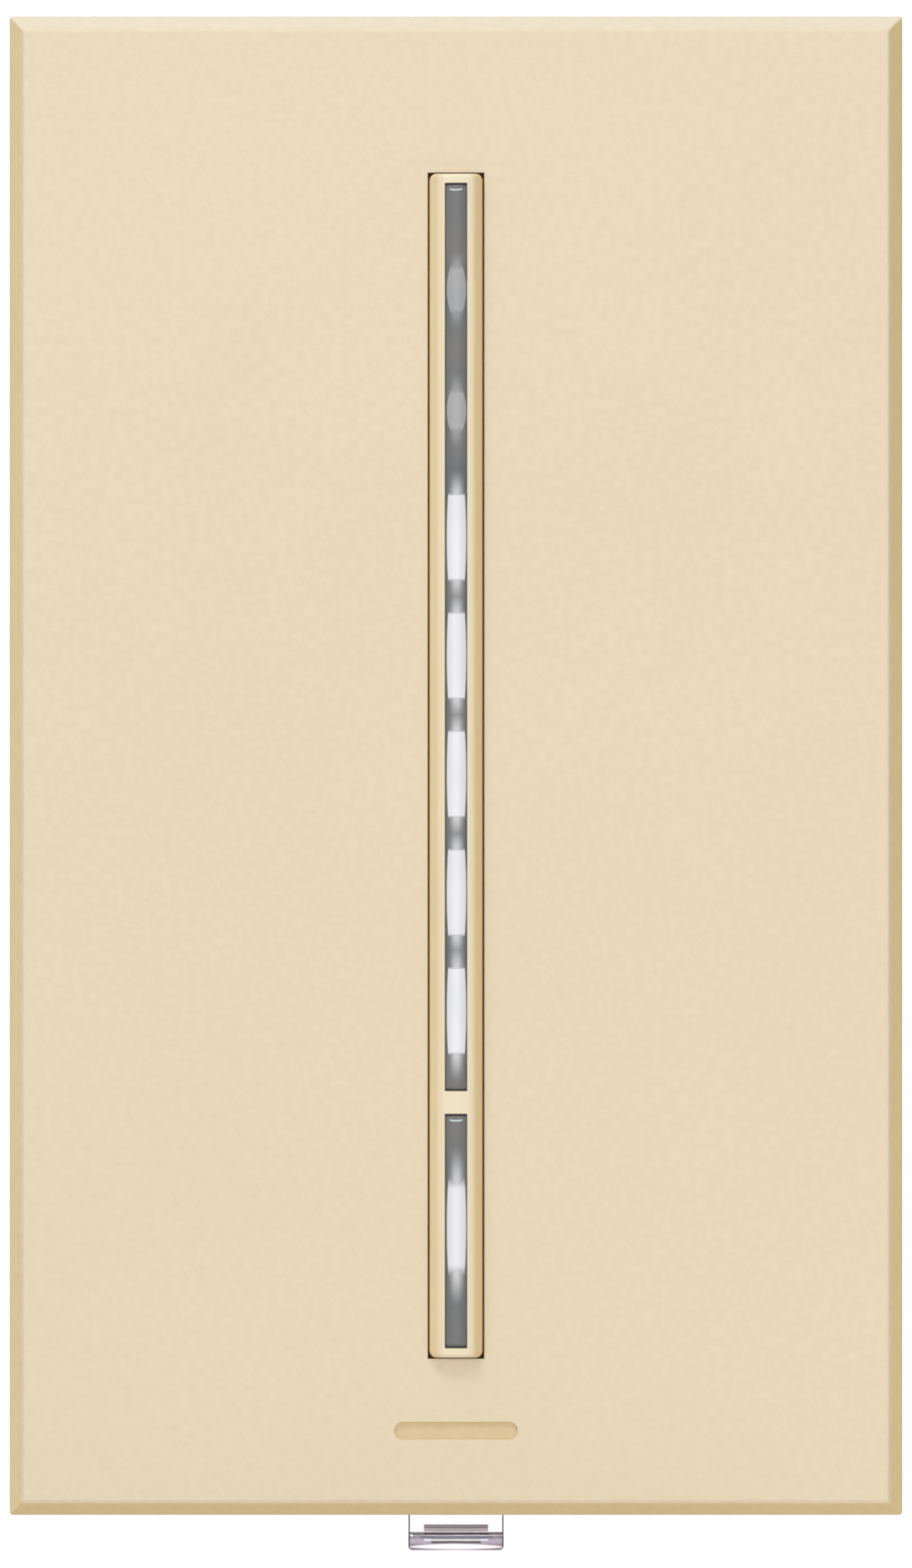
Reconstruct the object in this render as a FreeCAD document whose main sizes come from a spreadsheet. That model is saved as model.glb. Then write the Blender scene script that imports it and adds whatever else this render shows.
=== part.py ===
"""Touch dimmer for a one-gang wall box: beveled cover plate, light bar, air-gap slider and power module.

The frame: X to the right, Y into the wall, Z up. The wall surface is the plane Y = 0, and the origin is
midway between the two box screws. A height is a distance in front of the wall (towards -Y), and a depth
is a distance behind it (towards +Y). Every sub-part is one object of the document, and its Label names
its file. Sizes are in millimetres.
"""
import FreeCAD, Part
import math
import os
import re

import Sketcher
from FreeCAD import Placement, Rotation, Vector

# Driving dimensions: alias, value, meaning.
DIMENSIONS = [
    ("plate_width", 75.0, "cover plate, across"),
    ("plate_height", 126.0, "cover plate, up"),
    ("plate_front", 9.0, "height of the plate's face above the wall"),
    ("plate_skin", 2.0, "thickness of the plate's face"),
    ("plate_wall", 1.9, "thickness of the plate's side walls"),
    ("plate_bevel", 1.2, "bevel round the face"),
    ("bevel_round", 0.3, "rounding of the bevel's edges"),
    ("slot_width", 4.75, "slot in the plate for the light bar"),
    ("slot_length", 99.7, "slot in the plate for the light bar"),
    ("badge_length", 10.4, "plain sunk bar under the slot"),
    ("badge_height", 1.5, "plain sunk bar under the slot"),
    ("badge_depth", 0.25, "plain sunk bar under the slot"),
    ("badge_drop", 55.9, "plain sunk bar, below the centre"),
    ("hook_reach", 0.8, "snap hooks on the plate's side walls"),
    ("hook_top", 3.5, "height of the hooks' holding faces"),
    ("hook_rise", 1.9, "height of a hook along Y"),
    ("hook_length", 8.0, "length of a hook along Z"),
    ("hook_spread", 80.0, "distance from the first hook to the last"),
    ("rib_width", 1.2, "stiffening ribs behind the face"),
    ("rib_height", 1.3, "stiffening ribs behind the face"),
    ("rib_inner", 12.0, "inner pair of upright ribs, off centre"),
    ("rib_outer", 26.0, "outer pair of upright ribs, off centre"),
    ("notch_width", 8.7, "notch in the bottom wall for the slider"),
    ("notch_height", 3.4, "notch in the bottom wall for the slider"),
    ("adapter_width", 70.4, "adapter plate, across"),
    ("adapter_height", 121.4, "adapter plate, up"),
    ("adapter_front", 5.4, "height of the adapter's face"),
    ("adapter_back", 3.6, "height of the adapter's back"),
    ("adapter_corner", 2.0, "radius of the adapter's corners"),
    ("skirt_inset", 1.6, "adapter's skirt, in from its edge"),
    ("skirt_wall", 1.6, "thickness of the skirt"),
    ("skirt_foot", 0.3, "height of the skirt's foot"),
    ("boss_radius", 3.5, "adapter bosses on the yoke"),
    ("fixing_x", 17.0, "adapter screws, off centre"),
    ("fixing_z", 44.0, "adapter screws, above and below the centre"),
    ("well_width", 9.8, "window in the adapter for the display board"),
    ("well_length", 100.4, "window in the adapter for the display board"),
    ("ledge_back", 3.0, "height of the ledge's back"),
    ("ledge_top", 3.65, "height of the ledge the board lies on"),
    ("ledge_opening", 7.6, "opening between the ledges"),
    ("ledge_length", 97.0, "opening between the ledges"),
    ("ledge_margin", 1.5, "ledge frame, outside the window"),
    ("yoke_width", 44.5, "metal yoke, across"),
    ("yoke_height", 105.0, "metal yoke, up"),
    ("yoke_thickness", 1.6, "metal yoke"),
    ("yoke_corner", 3.0, "radius of the yoke's corners"),
    ("box_screw_pitch", 83.34, "distance between the two box screws"),
    ("box_slot_length", 6.6, "slots for the box screws"),
    ("box_slot_width", 4.2, "slots for the box screws"),
    ("bezel_width", 4.5, "light bar's bezel, across"),
    ("bezel_length", 99.5, "light bar's bezel, up"),
    ("bezel_crest", 10.05, "height of the bezel's crest"),
    ("bezel_shoulder", 9.4, "height of the bezel's side walls"),
    ("bezel_crown", 0.16, "rise of the crest over its own width"),
    ("crest_half", 1.5, "half width of the crest"),
    ("ridge_round", 0.8, "rounding where the crest meets the slopes"),
    ("window_width", 1.88, "windows in the bezel"),
    ("window_top", 48.98, "top of the long window"),
    ("window_sill", -27.35, "bottom of the long window"),
    ("low_window_top", -29.25, "top of the short window"),
    ("low_window_sill", -48.96, "bottom of the short window"),
    ("flange_front", 6.8, "height of the bezel flange's face"),
    ("flange_back", 5.45, "height of the bezel flange's back"),
    ("flange_width", 14.0, "bezel flange, across"),
    ("flange_length", 106.0, "bezel flange, up"),
    ("pocket_roof", 6.3, "roof of the pocket behind the flange"),
    ("channel_width", 3.1, "channel the touch bars slide in"),
    ("channel_roof", 8.9, "roof of the channel"),
    ("channel_end", 49.3, "ends of the channel, off centre"),
    ("ear_reach", 10.0, "bezel ears, off centre"),
    ("ear_half", 2.4, "half length of a bezel ear"),
    ("ear_hole_x", 8.2, "bezel screws, off centre"),
    ("ear_pitch", 36.0, "distance between bezel ears"),
    ("bar_width", 1.74, "touch bars, across"),
    ("bar_crest", 10.15, "height of the touch bars' crest"),
    ("bar_crown", 0.3, "rise of the touch bars' crest"),
    ("bar_gap", 0.17, "gap between a bar's end and its window"),
    ("bar_flange_width", 2.8, "touch bars' flange, across"),
    ("bar_flange_front", 8.85, "height of that flange's face"),
    ("bar_flange_back", 8.15, "height of that flange's back"),
    ("bar_overhang", 0.25, "flange beyond the bar's end"),
    ("post_size", 1.2, "square posts behind the bars"),
    ("post_foot", 5.62, "height of the posts' feet"),
    ("led_pitch", 9.95, "distance between lamps"),
    ("led_first", -20.6, "lowest lamp of the long window"),
    ("led_low", -38.9, "lamp of the short window"),
    ("board_front", 4.7, "height of the display board's face"),
    ("board_back", 3.7, "height of the display board's back"),
    ("board_width", 9.4, "display board, across"),
    ("board_length", 99.4, "display board, up"),
    ("strip_front", 4.93, "height of the touch strip's face"),
    ("rubber_front", 5.6, "height of the elastomer's face"),
    ("rubber_back", 4.95, "height of the elastomer's back"),
    ("rubber_width", 2.2, "elastomer, across"),
    ("led_x", 3.05, "lamps, off centre"),
    ("slider_front", 2.9, "height of the slider's face"),
    ("slider_back", 1.7, "height of the slider's back"),
    ("slider_half", 5.3, "half width of the slider"),
    ("tab_half", 4.0, "half width of the slider's tab"),
    ("tab_end", 66.0, "bottom of the tab, below the centre"),
    ("lip_top", 64.65, "top of the tab's lip, below the centre"),
    ("lip_front", 6.4, "height of the lip's face"),
    ("pull_travel", 4.5, "travel of the slider"),
    ("case_width", 43.0, "back cover, across"),
    ("case_height", 68.0, "back cover, up"),
    ("case_depth", 32.0, "back cover, behind the wall"),
    ("case_wall", 1.8, "thickness of the back cover"),
    ("case_corner", 2.5, "radius of the back cover's corners"),
    ("case_screw_x", 18.0, "case screws, off centre"),
    ("case_screw_z", 30.5, "case screws, above and below the centre"),
    ("case_boss", 2.6, "radius of the case screws' bosses"),
    ("power_board_depth", 6.0, "depth of the power board's front"),
    ("power_board_thickness", 1.6, "power board"),
    ("terminal_z", 14.0, "terminals, above and below the centre"),
    ("terminal_depth", 19.0, "depth of the terminal screws' axes"),
    ("recess_half_y", 5.5, "half depth of a terminal recess"),
    ("recess_half_z", 4.7, "half height of a terminal recess"),
    ("recess_floor", 13.4, "floor of a terminal recess, off centre"),
    ("recess_wall", 1.5, "wall round a terminal recess"),
    ("wire_x", 16.4, "wire holes, off centre"),
    ("wire_offset", 3.0, "wire holes, above the terminal screw"),
    ("wire_radius", 1.3, "wire holes"),
    ("leaf_root", -13.0, "pivot end of the air-gap leaf"),
    ("leaf_tip", 5.5, "free end of the air-gap leaf"),
    ("leaf_front", 3.2, "depth of the leaf's front"),
    ("leaf_thickness", 0.3, "air-gap leaf"),
    ("leaf_top", -21.0, "top edge of the leaf"),
    ("leaf_width", 4.0, "air-gap leaf, up"),
    ("contact_x", 4.0, "air-gap contacts, off centre"),
    ("contact_radius", 1.4, "air-gap contacts"),
    ("cam_slope", 0.3134, "rise of the slider's cam per unit of travel"),
    ("cam_clearance", 0.06, "gap between cam and leaf at rest"),
    ("choke_x", 6.5, "choke, off centre"),
    ("choke_z", 17.5, "choke, above the centre"),
    ("core_outer", 10.4, "outer radius of the choke's core"),
    ("core_inner", 4.9, "inner radius of the choke's core"),
    ("core_front", 9.4, "depth of the core's front"),
    ("core_height", 7.6, "height of the core along Y"),
    ("winding_wall", 1.05, "thickness of the winding round the core"),
]
ALIASES = {alias for alias, _, _ in DIMENSIONS}
SIDES = (-1, 1)
EAR_ROWS = (-1, 0, 1)
LED_COUNT = 7
PIN_COUNT = 6
PIN_PITCH = 2.0
# Each terminal: side (-1 left, 1 right) and row (-1 lower, 1 upper).
TERMINALS = ((-1, 1), (-1, -1), (1, -1))

doc = FreeCAD.newDocument("touch_dimmer")
dims = doc.addObject("Spreadsheet::Sheet", "dims")
for row, (alias, size, meaning) in enumerate(DIMENSIONS, 1):
    dims.set(f"A{row}", meaning)
    dims.set(f"B{row}", str(size))
    dims.setAlias(f"B{row}", alias)
doc.recompute()

parts = []


# ---------------------------------------------------------------- helpers


def formula(text):
    """An expression written with bare aliases, with each alias pointed at the sheet."""
    return re.sub(r"[a-z][a-z_]*", lambda m: "dims." + m[0] if m[0] in ALIASES else m[0], str(text))


def value(text):
    """The number an expression comes to."""
    return float(dims.evalExpression(formula(text)))


def point(x, z):
    return Vector(value(x), value(z), 0)


def bind(thing, prop, text):
    """Ties a property to an expression, or sets it if the text is a plain number."""
    thing.setExpression(prop, formula(text))


def keep(thing, label):
    """Marks an object as a finished sub-part of that name."""
    thing.Label = label
    parts.append(thing)
    return thing


def new_body(label):
    return keep(doc.addObject("PartDesign::Body", label), label)


def new_sketch(body, name, height="0", plane="XZ_Plane"):
    """A sketch parallel to a base plane. On XZ its normal points to the front, so height is -Y."""
    sketch = body.newObject("Sketcher::SketchObject", name)
    base = next(f for f in body.Origin.OriginFeatures if f.Role == plane)
    sketch.AttachmentSupport = [(base, "")]
    sketch.MapMode = "FlatFace"
    bind(sketch, "AttachmentOffset.Base.z", height)
    return sketch


def tie(sketch, kind, name, text, *ends):
    """A named driving dimension of a sketch, bound to an expression."""
    index = sketch.addConstraint(Sketcher.Constraint(kind, *ends, value(text)))
    sketch.renameConstraint(index, name)
    sketch.setExpression(f"Constraints.{name}", formula(text))


def locate(sketch, geometry, end, x, z):
    """Fixes a point of the sketch at two expressions, measured from the sketch's origin."""
    for kind, axis, text in (("DistanceX", -2, x), ("DistanceY", -1, z)):
        if str(text) == "0":
            sketch.addConstraint(Sketcher.Constraint("PointOnObject", geometry, end, axis))
        else:
            tie(sketch, kind, f"{kind[-1]}_{geometry}_{end}", text, -1, 1, geometry, end)


def outline(sketch, corners):
    """A closed outline of straight lines through corners given as pairs of expressions."""
    first = sketch.GeometryCount
    count = len(corners)
    places = [point(x, z) for x, z in corners]
    for i in range(count):
        sketch.addGeometry(Part.LineSegment(places[i], places[(i + 1) % count]), False)
    for i in range(count):
        after = first + (i + 1) % count
        sketch.addConstraint(Sketcher.Constraint("Coincident", first + i, 2, after, 1))
    for i, (x, z) in enumerate(corners):
        locate(sketch, first + i, 1, x, z)


def rectangle(sketch, left, low, right, high):
    outline(sketch, [(left, low), (right, low), (right, high), (left, high)])


def centred(sketch, width, height):
    """A rectangle about the sketch's origin."""
    rectangle(sketch, f"-({width})/2", f"-({height})/2", f"({width})/2", f"({height})/2")


def circle(sketch, x, z, radius):
    index = sketch.addGeometry(Part.Circle(point(x, z), Vector(0, 0, 1), value(radius)), False)
    tie(sketch, "Radius", f"R_{index}", radius, index)
    locate(sketch, index, 3, x, z)


def capped_slot(sketch, x, z, length, width):
    """A slot along the sketch's X axis with half-round ends, centred on (x, z)."""
    half = f"(({length}) - ({width}))/2"
    left, right = f"{x} - {half}", f"{x} + {half}"
    low, high = f"{z} - ({width})/2", f"{z} + ({width})/2"
    top = sketch.addGeometry(Part.LineSegment(point(left, high), point(right, high)), False)
    base = sketch.addGeometry(Part.LineSegment(point(right, low), point(left, low)), False)
    caps = []
    for end, start in ((right, -math.pi / 2), (left, math.pi / 2)):
        ring = Part.Circle(point(end, z), Vector(0, 0, 1), value(width) / 2)
        caps.append(sketch.addGeometry(Part.ArcOfCircle(ring, start, start + math.pi), False))
    joints = ((base, 1, caps[0], 1), (caps[0], 2, top, 2), (top, 1, caps[1], 1), (caps[1], 2, base, 2))
    for joint in joints:
        sketch.addConstraint(Sketcher.Constraint("Coincident", *joint))
    locate(sketch, top, 1, left, high)
    locate(sketch, top, 2, right, high)
    locate(sketch, base, 1, right, low)
    locate(sketch, base, 2, left, low)
    for cap, end in zip(caps, (right, left)):
        tie(sketch, "DistanceX", f"C_{cap}", end, -1, 1, cap, 3)


def swept(body, kind, name, sketch, length, reverse=False, symmetric=False):
    """A Pad or Pocket of a sketch. The volume has to change, or the feature points the wrong way."""
    doc.recompute()
    before = body.Shape.Volume if body.Tip else 0.0
    feature = body.newObject(f"PartDesign::{kind}", name)
    feature.Profile = sketch
    bind(feature, "Length", length)
    feature.Reversed = reverse
    if symmetric:
        feature.SideType = "Symmetric"
    doc.recompute()
    change = feature.Shape.Volume - before
    if (change <= 0) if kind == "Pad" else (change >= 0):
        raise RuntimeError(f"{name} changed the volume by {change}")
    return feature


def pad(body, name, sketch, length, **options):
    return swept(body, "Pad", name, sketch, length, **options)


def pocket(body, name, sketch, length, **options):
    return swept(body, "Pocket", name, sketch, length, **options)


def edges_where(feature, test):
    """Names of the edges whose ends and middle all pass a test."""
    found = []
    for i, edge in enumerate(feature.Shape.Edges, 1):
        middle = edge.valueAt((edge.FirstParameter + edge.LastParameter) / 2)
        if all(test(p) for p in [v.Point for v in edge.Vertexes] + [middle]):
            found.append(f"Edge{i}")
    return found


def dress(body, kind, name, base, edges, size):
    """A Fillet or Chamfer on some edges of a feature."""
    feature = body.newObject(f"PartDesign::{kind}", name)
    feature.Base = (base, edges)
    bind(feature, "Radius" if kind == "Fillet" else "Size", size)
    doc.recompute()
    return feature


def pattern(body, name, original, axis, length, count):
    """Repeats a feature along one of the body's axes."""
    feature = body.newObject("PartDesign::LinearPattern", name)
    feature.Originals = [original]
    line = next(f for f in body.Origin.OriginFeatures if f.Role == axis)
    feature.Direction = (line, [""])
    bind(feature, "Length", length)
    feature.Occurrences = count
    body.Tip = feature
    doc.recompute()
    return feature


def corner_at(x_size, z_size):
    """A test for the edges that run along Y at the corners of a centred rectangle."""
    return lambda p: abs(abs(p.x) - x_size / 2) < 1e-4 and abs(abs(p.z) - z_size / 2) < 1e-4


def box(name, low, high):
    """A block between two corners, each given as three expressions in X, Y and Z."""
    block = doc.addObject("Part::Box", name)
    for prop, a, b in zip(("Length", "Width", "Height"), low, high):
        bind(block, prop, f"({b}) - ({a})")
    for axis, a in zip("xyz", low):
        bind(block, f"Placement.Base.{axis}", a)
    return block


TURNS = {
    "x": Rotation(Vector(0, 1, 0), 90),
    "y": Rotation(Vector(1, 0, 0), -90),
    "z": Rotation(),
}


def rod(name, start, axis, length, radius):
    """A cylinder from a point, given as three expressions, along +X, +Y or +Z."""
    cylinder = doc.addObject("Part::Cylinder", name)
    cylinder.Placement = Placement(Vector(), TURNS[axis])
    bind(cylinder, "Radius", radius)
    bind(cylinder, "Height", length)
    for letter, a in zip("xyz", start):
        bind(cylinder, f"Placement.Base.{letter}", a)
    return cylinder


def fused(name, pieces):
    joined = doc.addObject("Part::MultiFuse", name)
    joined.Shapes = pieces
    return joined


def cut(name, base, tools):
    result = doc.addObject("Part::Cut", name)
    result.Base = base
    result.Tool = tools[0] if len(tools) == 1 else fused(name + "_tools", tools)
    return result


def group(name, pieces):
    """Separate solids that share one node."""
    together = doc.addObject("Part::Compound", name)
    together.Links = pieces
    return together


def size(alias):
    return float(dims.get(alias))


# ---------------------------------------------------------------- cover plate, adapter and yoke


def cover_plate():
    """Beveled shell with the light bar's slot, snap hooks, ribs and the slider's notch."""
    body = new_body("cover_plate")
    base = new_sketch(body, "plate_outline")
    centred(base, "plate_width", "plate_height")
    block = pad(body, "plate_block", base, "plate_front")
    front = -size("plate_front")
    rim = edges_where(block, lambda p: abs(p.y - front) < 1e-4)
    beveled = dress(body, "Chamfer", "plate_face_bevel", block, rim, "plate_bevel")
    outer = edges_where(beveled, lambda p: p.y < -1e-4 or abs(abs(p.x) - size("plate_width") / 2) < 1e-4)
    outer = [e for e in outer if e not in edges_where(beveled, lambda p: abs(p.y) < 1e-4)]
    dress(body, "Fillet", "plate_edge_round", beveled, outer, "bevel_round")

    hollow = new_sketch(body, "plate_hollow")
    centred(hollow, "plate_width - 2*plate_wall", "plate_height - 2*plate_wall")
    pocket(body, "plate_cavity", hollow, "plate_front - plate_skin", reverse=True)

    slot = new_sketch(body, "plate_slot", "plate_front")
    centred(slot, "slot_width", "slot_length")
    pocket(body, "plate_slot_cut", slot, "plate_skin + 1")

    notch = new_sketch(body, "plate_notch")
    wall = "-plate_height/2"
    rectangle(notch, "-notch_width/2", wall + " - 1", "notch_width/2", wall + " + plate_wall + 1")
    pocket(body, "plate_notch_cut", notch, "notch_height", reverse=True)

    badge = new_sketch(body, "plate_badge", "plate_front")
    capped_slot(badge, "0", "-badge_drop", "badge_length", "badge_height")
    pocket(body, "plate_badge_cut", badge, "badge_depth")

    ribs = new_sketch(body, "plate_upright_ribs", "plate_front - plate_skin - rib_height")
    reach = "(plate_height/2 - plate_wall)"
    for side in SIDES:
        for rib in ("rib_inner", "rib_outer"):
            middle = f"{side}*{rib}"
            rectangle(ribs, f"{middle} - rib_width/2", f"-{reach}", f"{middle} + rib_width/2", reach)
    pad(body, "plate_upright_rib_pads", ribs, "rib_height")

    cross = new_sketch(body, "plate_cross_ribs", "plate_front - plate_skin - rib_height")
    for row in EAR_ROWS:
        middle = f"{row}*0.24*plate_height"
        for near, far in (
            ("-plate_width/2 + plate_wall", "-rib_inner"), ("rib_inner", "plate_width/2 - plate_wall")
        ):
            rectangle(cross, near, f"{middle} - rib_width/2", far, f"{middle} + rib_width/2")
    pad(body, "plate_cross_rib_pads", cross, "rib_height")

    hooks = new_sketch(body, "plate_hooks", "-hook_spread/2 - hook_length/2", "XY_Plane")
    for side in SIDES:
        wall = f"{side}*(plate_width/2 - plate_wall + 0.1)"
        tip = f"{side}*(plate_width/2 - plate_wall - hook_reach)"
        foot = "-(hook_top - hook_rise)"
        nose = "-(hook_top - 0.6)"
        outline(hooks, [(wall, foot), (tip, nose), (tip, "-hook_top"), (wall, "-hook_top")])
    hook = pad(body, "plate_hook_pads", hooks, "hook_length")
    pattern(body, "plate_hook_rows", hook, "Z_Axis", "hook_spread", 3)


def adapter_plate():
    """Plate between the yoke and the cover plate, with the display board's well and the slider's guide."""
    body = new_body("adapter_plate")
    base = new_sketch(body, "adapter_outline", "adapter_back")
    centred(base, "adapter_width", "adapter_height")
    block = pad(body, "adapter_block", base, "adapter_front - adapter_back")
    corners = edges_where(block, corner_at(size("adapter_width"), size("adapter_height")))
    dress(body, "Fillet", "adapter_corners", block, corners, "adapter_corner")

    skirt = new_sketch(body, "adapter_skirt", "skirt_foot")
    centred(skirt, "adapter_width - 2*skirt_inset", "adapter_height - 2*skirt_inset")
    inner = "2*(skirt_inset + skirt_wall)"
    centred(skirt, f"adapter_width - {inner}", f"adapter_height - {inner}")
    pad(body, "adapter_skirt_pad", skirt, "adapter_back - skirt_foot")

    ledge = new_sketch(body, "adapter_ledge", "ledge_back")
    centred(ledge, "well_width + 2*ledge_margin", "well_length + 2*ledge_margin")
    pad(body, "adapter_ledge_pad", ledge, "adapter_back - ledge_back")

    guide = new_sketch(body, "adapter_guide", "slider_back")
    foot = "-(adapter_height/2 - skirt_inset - 0.4)"
    for side in SIDES:
        near = f"{side}*(slider_half + 0.2)"
        far = f"{side}*(slider_half + 1.2)"
        rectangle(guide, near, foot, far, "-13.2")
    pad(body, "adapter_guide_pad", guide, "adapter_back - slider_back")
    stop = new_sketch(body, "adapter_stop", "slider_back")
    rectangle(stop, "-slider_half - 1.2", "-14.2", "slider_half + 1.2", "-13.2")
    pad(body, "adapter_stop_pad", stop, "adapter_back - slider_back")

    bosses = new_sketch(body, "adapter_bosses", "yoke_thickness")
    holes = new_sketch(body, "adapter_boss_holes", "adapter_front")
    for side in SIDES:
        for row in SIDES:
            circle(bosses, f"{side}*fixing_x", f"{row}*fixing_z", "boss_radius")
            circle(holes, f"{side}*fixing_x", f"{row}*fixing_z", "1.7")
    pad(body, "adapter_boss_pads", bosses, "adapter_back - yoke_thickness")
    pocket(body, "adapter_boss_hole_cuts", holes, "adapter_front")

    well = new_sketch(body, "adapter_well", "adapter_front")
    centred(well, "well_width", "well_length")
    pocket(body, "adapter_well_cut", well, "adapter_front - ledge_top")
    opening = new_sketch(body, "adapter_opening", "adapter_front")
    centred(opening, "ledge_opening", "ledge_length")
    pocket(body, "adapter_opening_cut", opening, "adapter_front - ledge_back + 0.01")

    seats = new_sketch(body, "adapter_ear_seats", "adapter_front")
    pins = new_sketch(body, "adapter_ear_holes", "adapter_front")
    for side in SIDES:
        for row in EAR_ROWS:
            circle(seats, f"{side}*ear_hole_x", f"{row}*ear_pitch", "2.0")
            circle(pins, f"{side}*ear_hole_x", f"{row}*ear_pitch", "0.95")
    pocket(body, "adapter_ear_seat_cuts", seats, "1.2")
    pocket(body, "adapter_ear_hole_cuts", pins, "adapter_front")

    gate = new_sketch(body, "adapter_gate")
    edge = "-adapter_height/2 + skirt_inset"
    rectangle(gate, "-notch_width/2", edge + " - 1", "notch_width/2", edge + " + skirt_wall + 0.6")
    pocket(body, "adapter_gate_cut", gate, "notch_height", reverse=True)


def yoke():
    """Metal strap that carries the module, sheds its heat and takes the box screws."""
    body = new_body("yoke")
    base = new_sketch(body, "yoke_outline")
    centred(base, "yoke_width", "yoke_height")
    block = pad(body, "yoke_block", base, "yoke_thickness")
    corners = edges_where(block, corner_at(size("yoke_width"), size("yoke_height")))
    dress(body, "Fillet", "yoke_corners", block, corners, "yoke_corner")

    tab = new_sketch(body, "yoke_ground_tab")
    rectangle(tab, "8", "-case_height/2 - 2.9", "18", "-case_height/2 - 1.3")
    pad(body, "yoke_ground_tab_pad", tab, "10", reverse=True)

    slots = new_sketch(body, "yoke_box_slots", "yoke_thickness")
    for row in SIDES:
        capped_slot(slots, "0", f"{row}*box_screw_pitch/2", "box_slot_length", "box_slot_width")
    pocket(body, "yoke_box_slot_cuts", slots, "yoke_thickness")

    windows = new_sketch(body, "yoke_windows", "yoke_thickness")
    centred(windows, "6.4", "16")
    rectangle(windows, "-1.6", "leaf_top - 6.9", "1.6", "leaf_top + 5.1")
    pocket(body, "yoke_window_cuts", windows, "yoke_thickness")

    holes = new_sketch(body, "yoke_holes", "yoke_thickness")
    for side in SIDES:
        for row in SIDES:
            circle(holes, f"{side}*fixing_x", f"{row}*fixing_z", "1.52")
            circle(holes, f"{side}*case_screw_x", f"{row}*case_screw_z", "1.12")
    circle(holes, "-10", "27.2", "1.52")
    pocket(body, "yoke_hole_cuts", holes, "yoke_thickness")

    grooves = new_sketch(body, "yoke_break_lines", "yoke_thickness")
    for side in SIDES:
        rectangle(
            grooves, f"{side}*20.4 - 0.3", "-yoke_height/2 - 1", f"{side}*20.4 + 0.3", "yoke_height/2 + 1"
        )
    pocket(body, "yoke_break_line_cuts", grooves, "0.5")

    thread = new_sketch(body, "yoke_ground_hole", "-case_height/2 - 3", "XY_Plane")
    circle(thread, "13", "5.4", "1.98")
    pocket(body, "yoke_ground_hole_cut", thread, "3", reverse=True)


def fasteners():
    """Box screws, adapter screws, bezel screws, case screws and the ground screw."""
    box_screws, adapter_screws, bezel_screws, case_screws = [], [], [], []
    for row in SIDES:
        z = f"{row}*box_screw_pitch/2"
        name = f"box_screw_{row + 1}"
        head = rod(name + "_head", ("0", "-yoke_thickness - 1.6", z), "y", "1.6", "3.3")
        doc.recompute()
        domed = doc.addObject("Part::Fillet", name + "_dome")
        domed.Base = head
        face = -size("yoke_thickness") - 1.6
        front = [i for i, e in enumerate(head.Shape.Edges, 1) if abs(e.BoundBox.YMax - face) < 1e-4]
        domed.Edges = [(i, 0.9, 0.9) for i in front]
        neck = rod(name + "_neck", ("0", "-yoke_thickness - 0.5", z), "y", "yoke_thickness + 0.6", "1.45")
        thread = rod(name + "_thread", ("0", "0", z), "y", "22", "1.75")
        slot = box(
            name + "_slot", ("-4", "-yoke_thickness - 2", f"{z} - 0.45"),
            ("4", "-yoke_thickness - 0.9", f"{z} + 0.45")
        )
        box_screws.append(cut(name, fused(name + "_blank", [domed, neck, thread]), [slot]))
    for side in SIDES:
        for row in SIDES:
            x, z = f"{side}*fixing_x", f"{row}*fixing_z"
            name = f"adapter_screw_{side + 1}{row + 1}"
            head = rod(name + "_head", (x, "-adapter_front - 1.25", z), "y", "1.25", "2.8")
            shank = rod(name + "_shank", (x, "-adapter_front - 0.2", z), "y", "6.6", "1.48")
            slots = [
                box(
                    name + "_slot_a", (f"{x} - 1.6", "-adapter_front - 2", f"{z} - 0.3"),
                    (f"{x} + 1.6", "-adapter_front - 0.4", f"{z} + 0.3")
                ),
                box(
                    name + "_slot_b", (f"{x} - 0.3", "-adapter_front - 2", f"{z} - 1.6"),
                    (f"{x} + 0.3", "-adapter_front - 0.4", f"{z} + 1.6")
                ),
            ]
            adapter_screws.append(cut(name, fused(name + "_blank", [head, shank]), slots))
            x, z = f"{side}*case_screw_x", f"{row}*case_screw_z"
            name = f"case_screw_{side + 1}{row + 1}"
            head = rod(name + "_head", (x, "case_depth - 2.2", z), "y", "1.5", "2.1")
            shank = rod(
                name + "_shank", (x, "-yoke_thickness", z), "y", "case_depth - 2 + yoke_thickness", "1.1"
            )
            slot = box(
                name + "_slot", (f"{x} - 2.2", "case_depth - 1.2", f"{z} - 0.3"),
                (f"{x} + 2.2", "case_depth", f"{z} + 0.3")
            )
            case_screws.append(cut(name, fused(name + "_blank", [head, shank]), [slot]))
        for row in EAR_ROWS:
            x, z = f"{side}*ear_hole_x", f"{row}*ear_pitch"
            name = f"bezel_screw_{side + 1}{row + 1}"
            head = rod(name + "_head", (x, "-adapter_back", z), "y", "0.8", "1.45")
            shank = rod(
                name + "_shank", (x, "-flange_front + 0.5", z), "y", "flange_front - adapter_back", "0.75"
            )
            slot = box(
                name + "_slot", (f"{x} - 1", "-adapter_back + 0.4", f"{z} - 0.2"),
                (f"{x} + 1", "-adapter_back + 1", f"{z} + 0.2")
            )
            bezel_screws.append(cut(name, fused(name + "_blank", [head, shank]), [slot]))
    keep(group("box_screws", box_screws), "box_screws")
    keep(group("adapter_screws", adapter_screws), "adapter_screws")
    keep(group("bezel_screws", bezel_screws), "bezel_screws")
    keep(group("case_screws", case_screws), "case_screws")
    head = rod("ground_head", ("13", "5.4", "-case_height/2 - 5.1"), "z", "2.2", "3.6")
    shank = rod("ground_shank", ("13", "5.4", "-case_height/2 - 3"), "z", "2.4", "1.95")
    slot = box("ground_slot", ("9", "5", "-case_height/2 - 6"), ("17", "5.8", "-case_height/2 - 4"))
    keep(cut("ground_screw", fused("ground_blank", [head, shank]), [slot]), "ground_screw")


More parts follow.
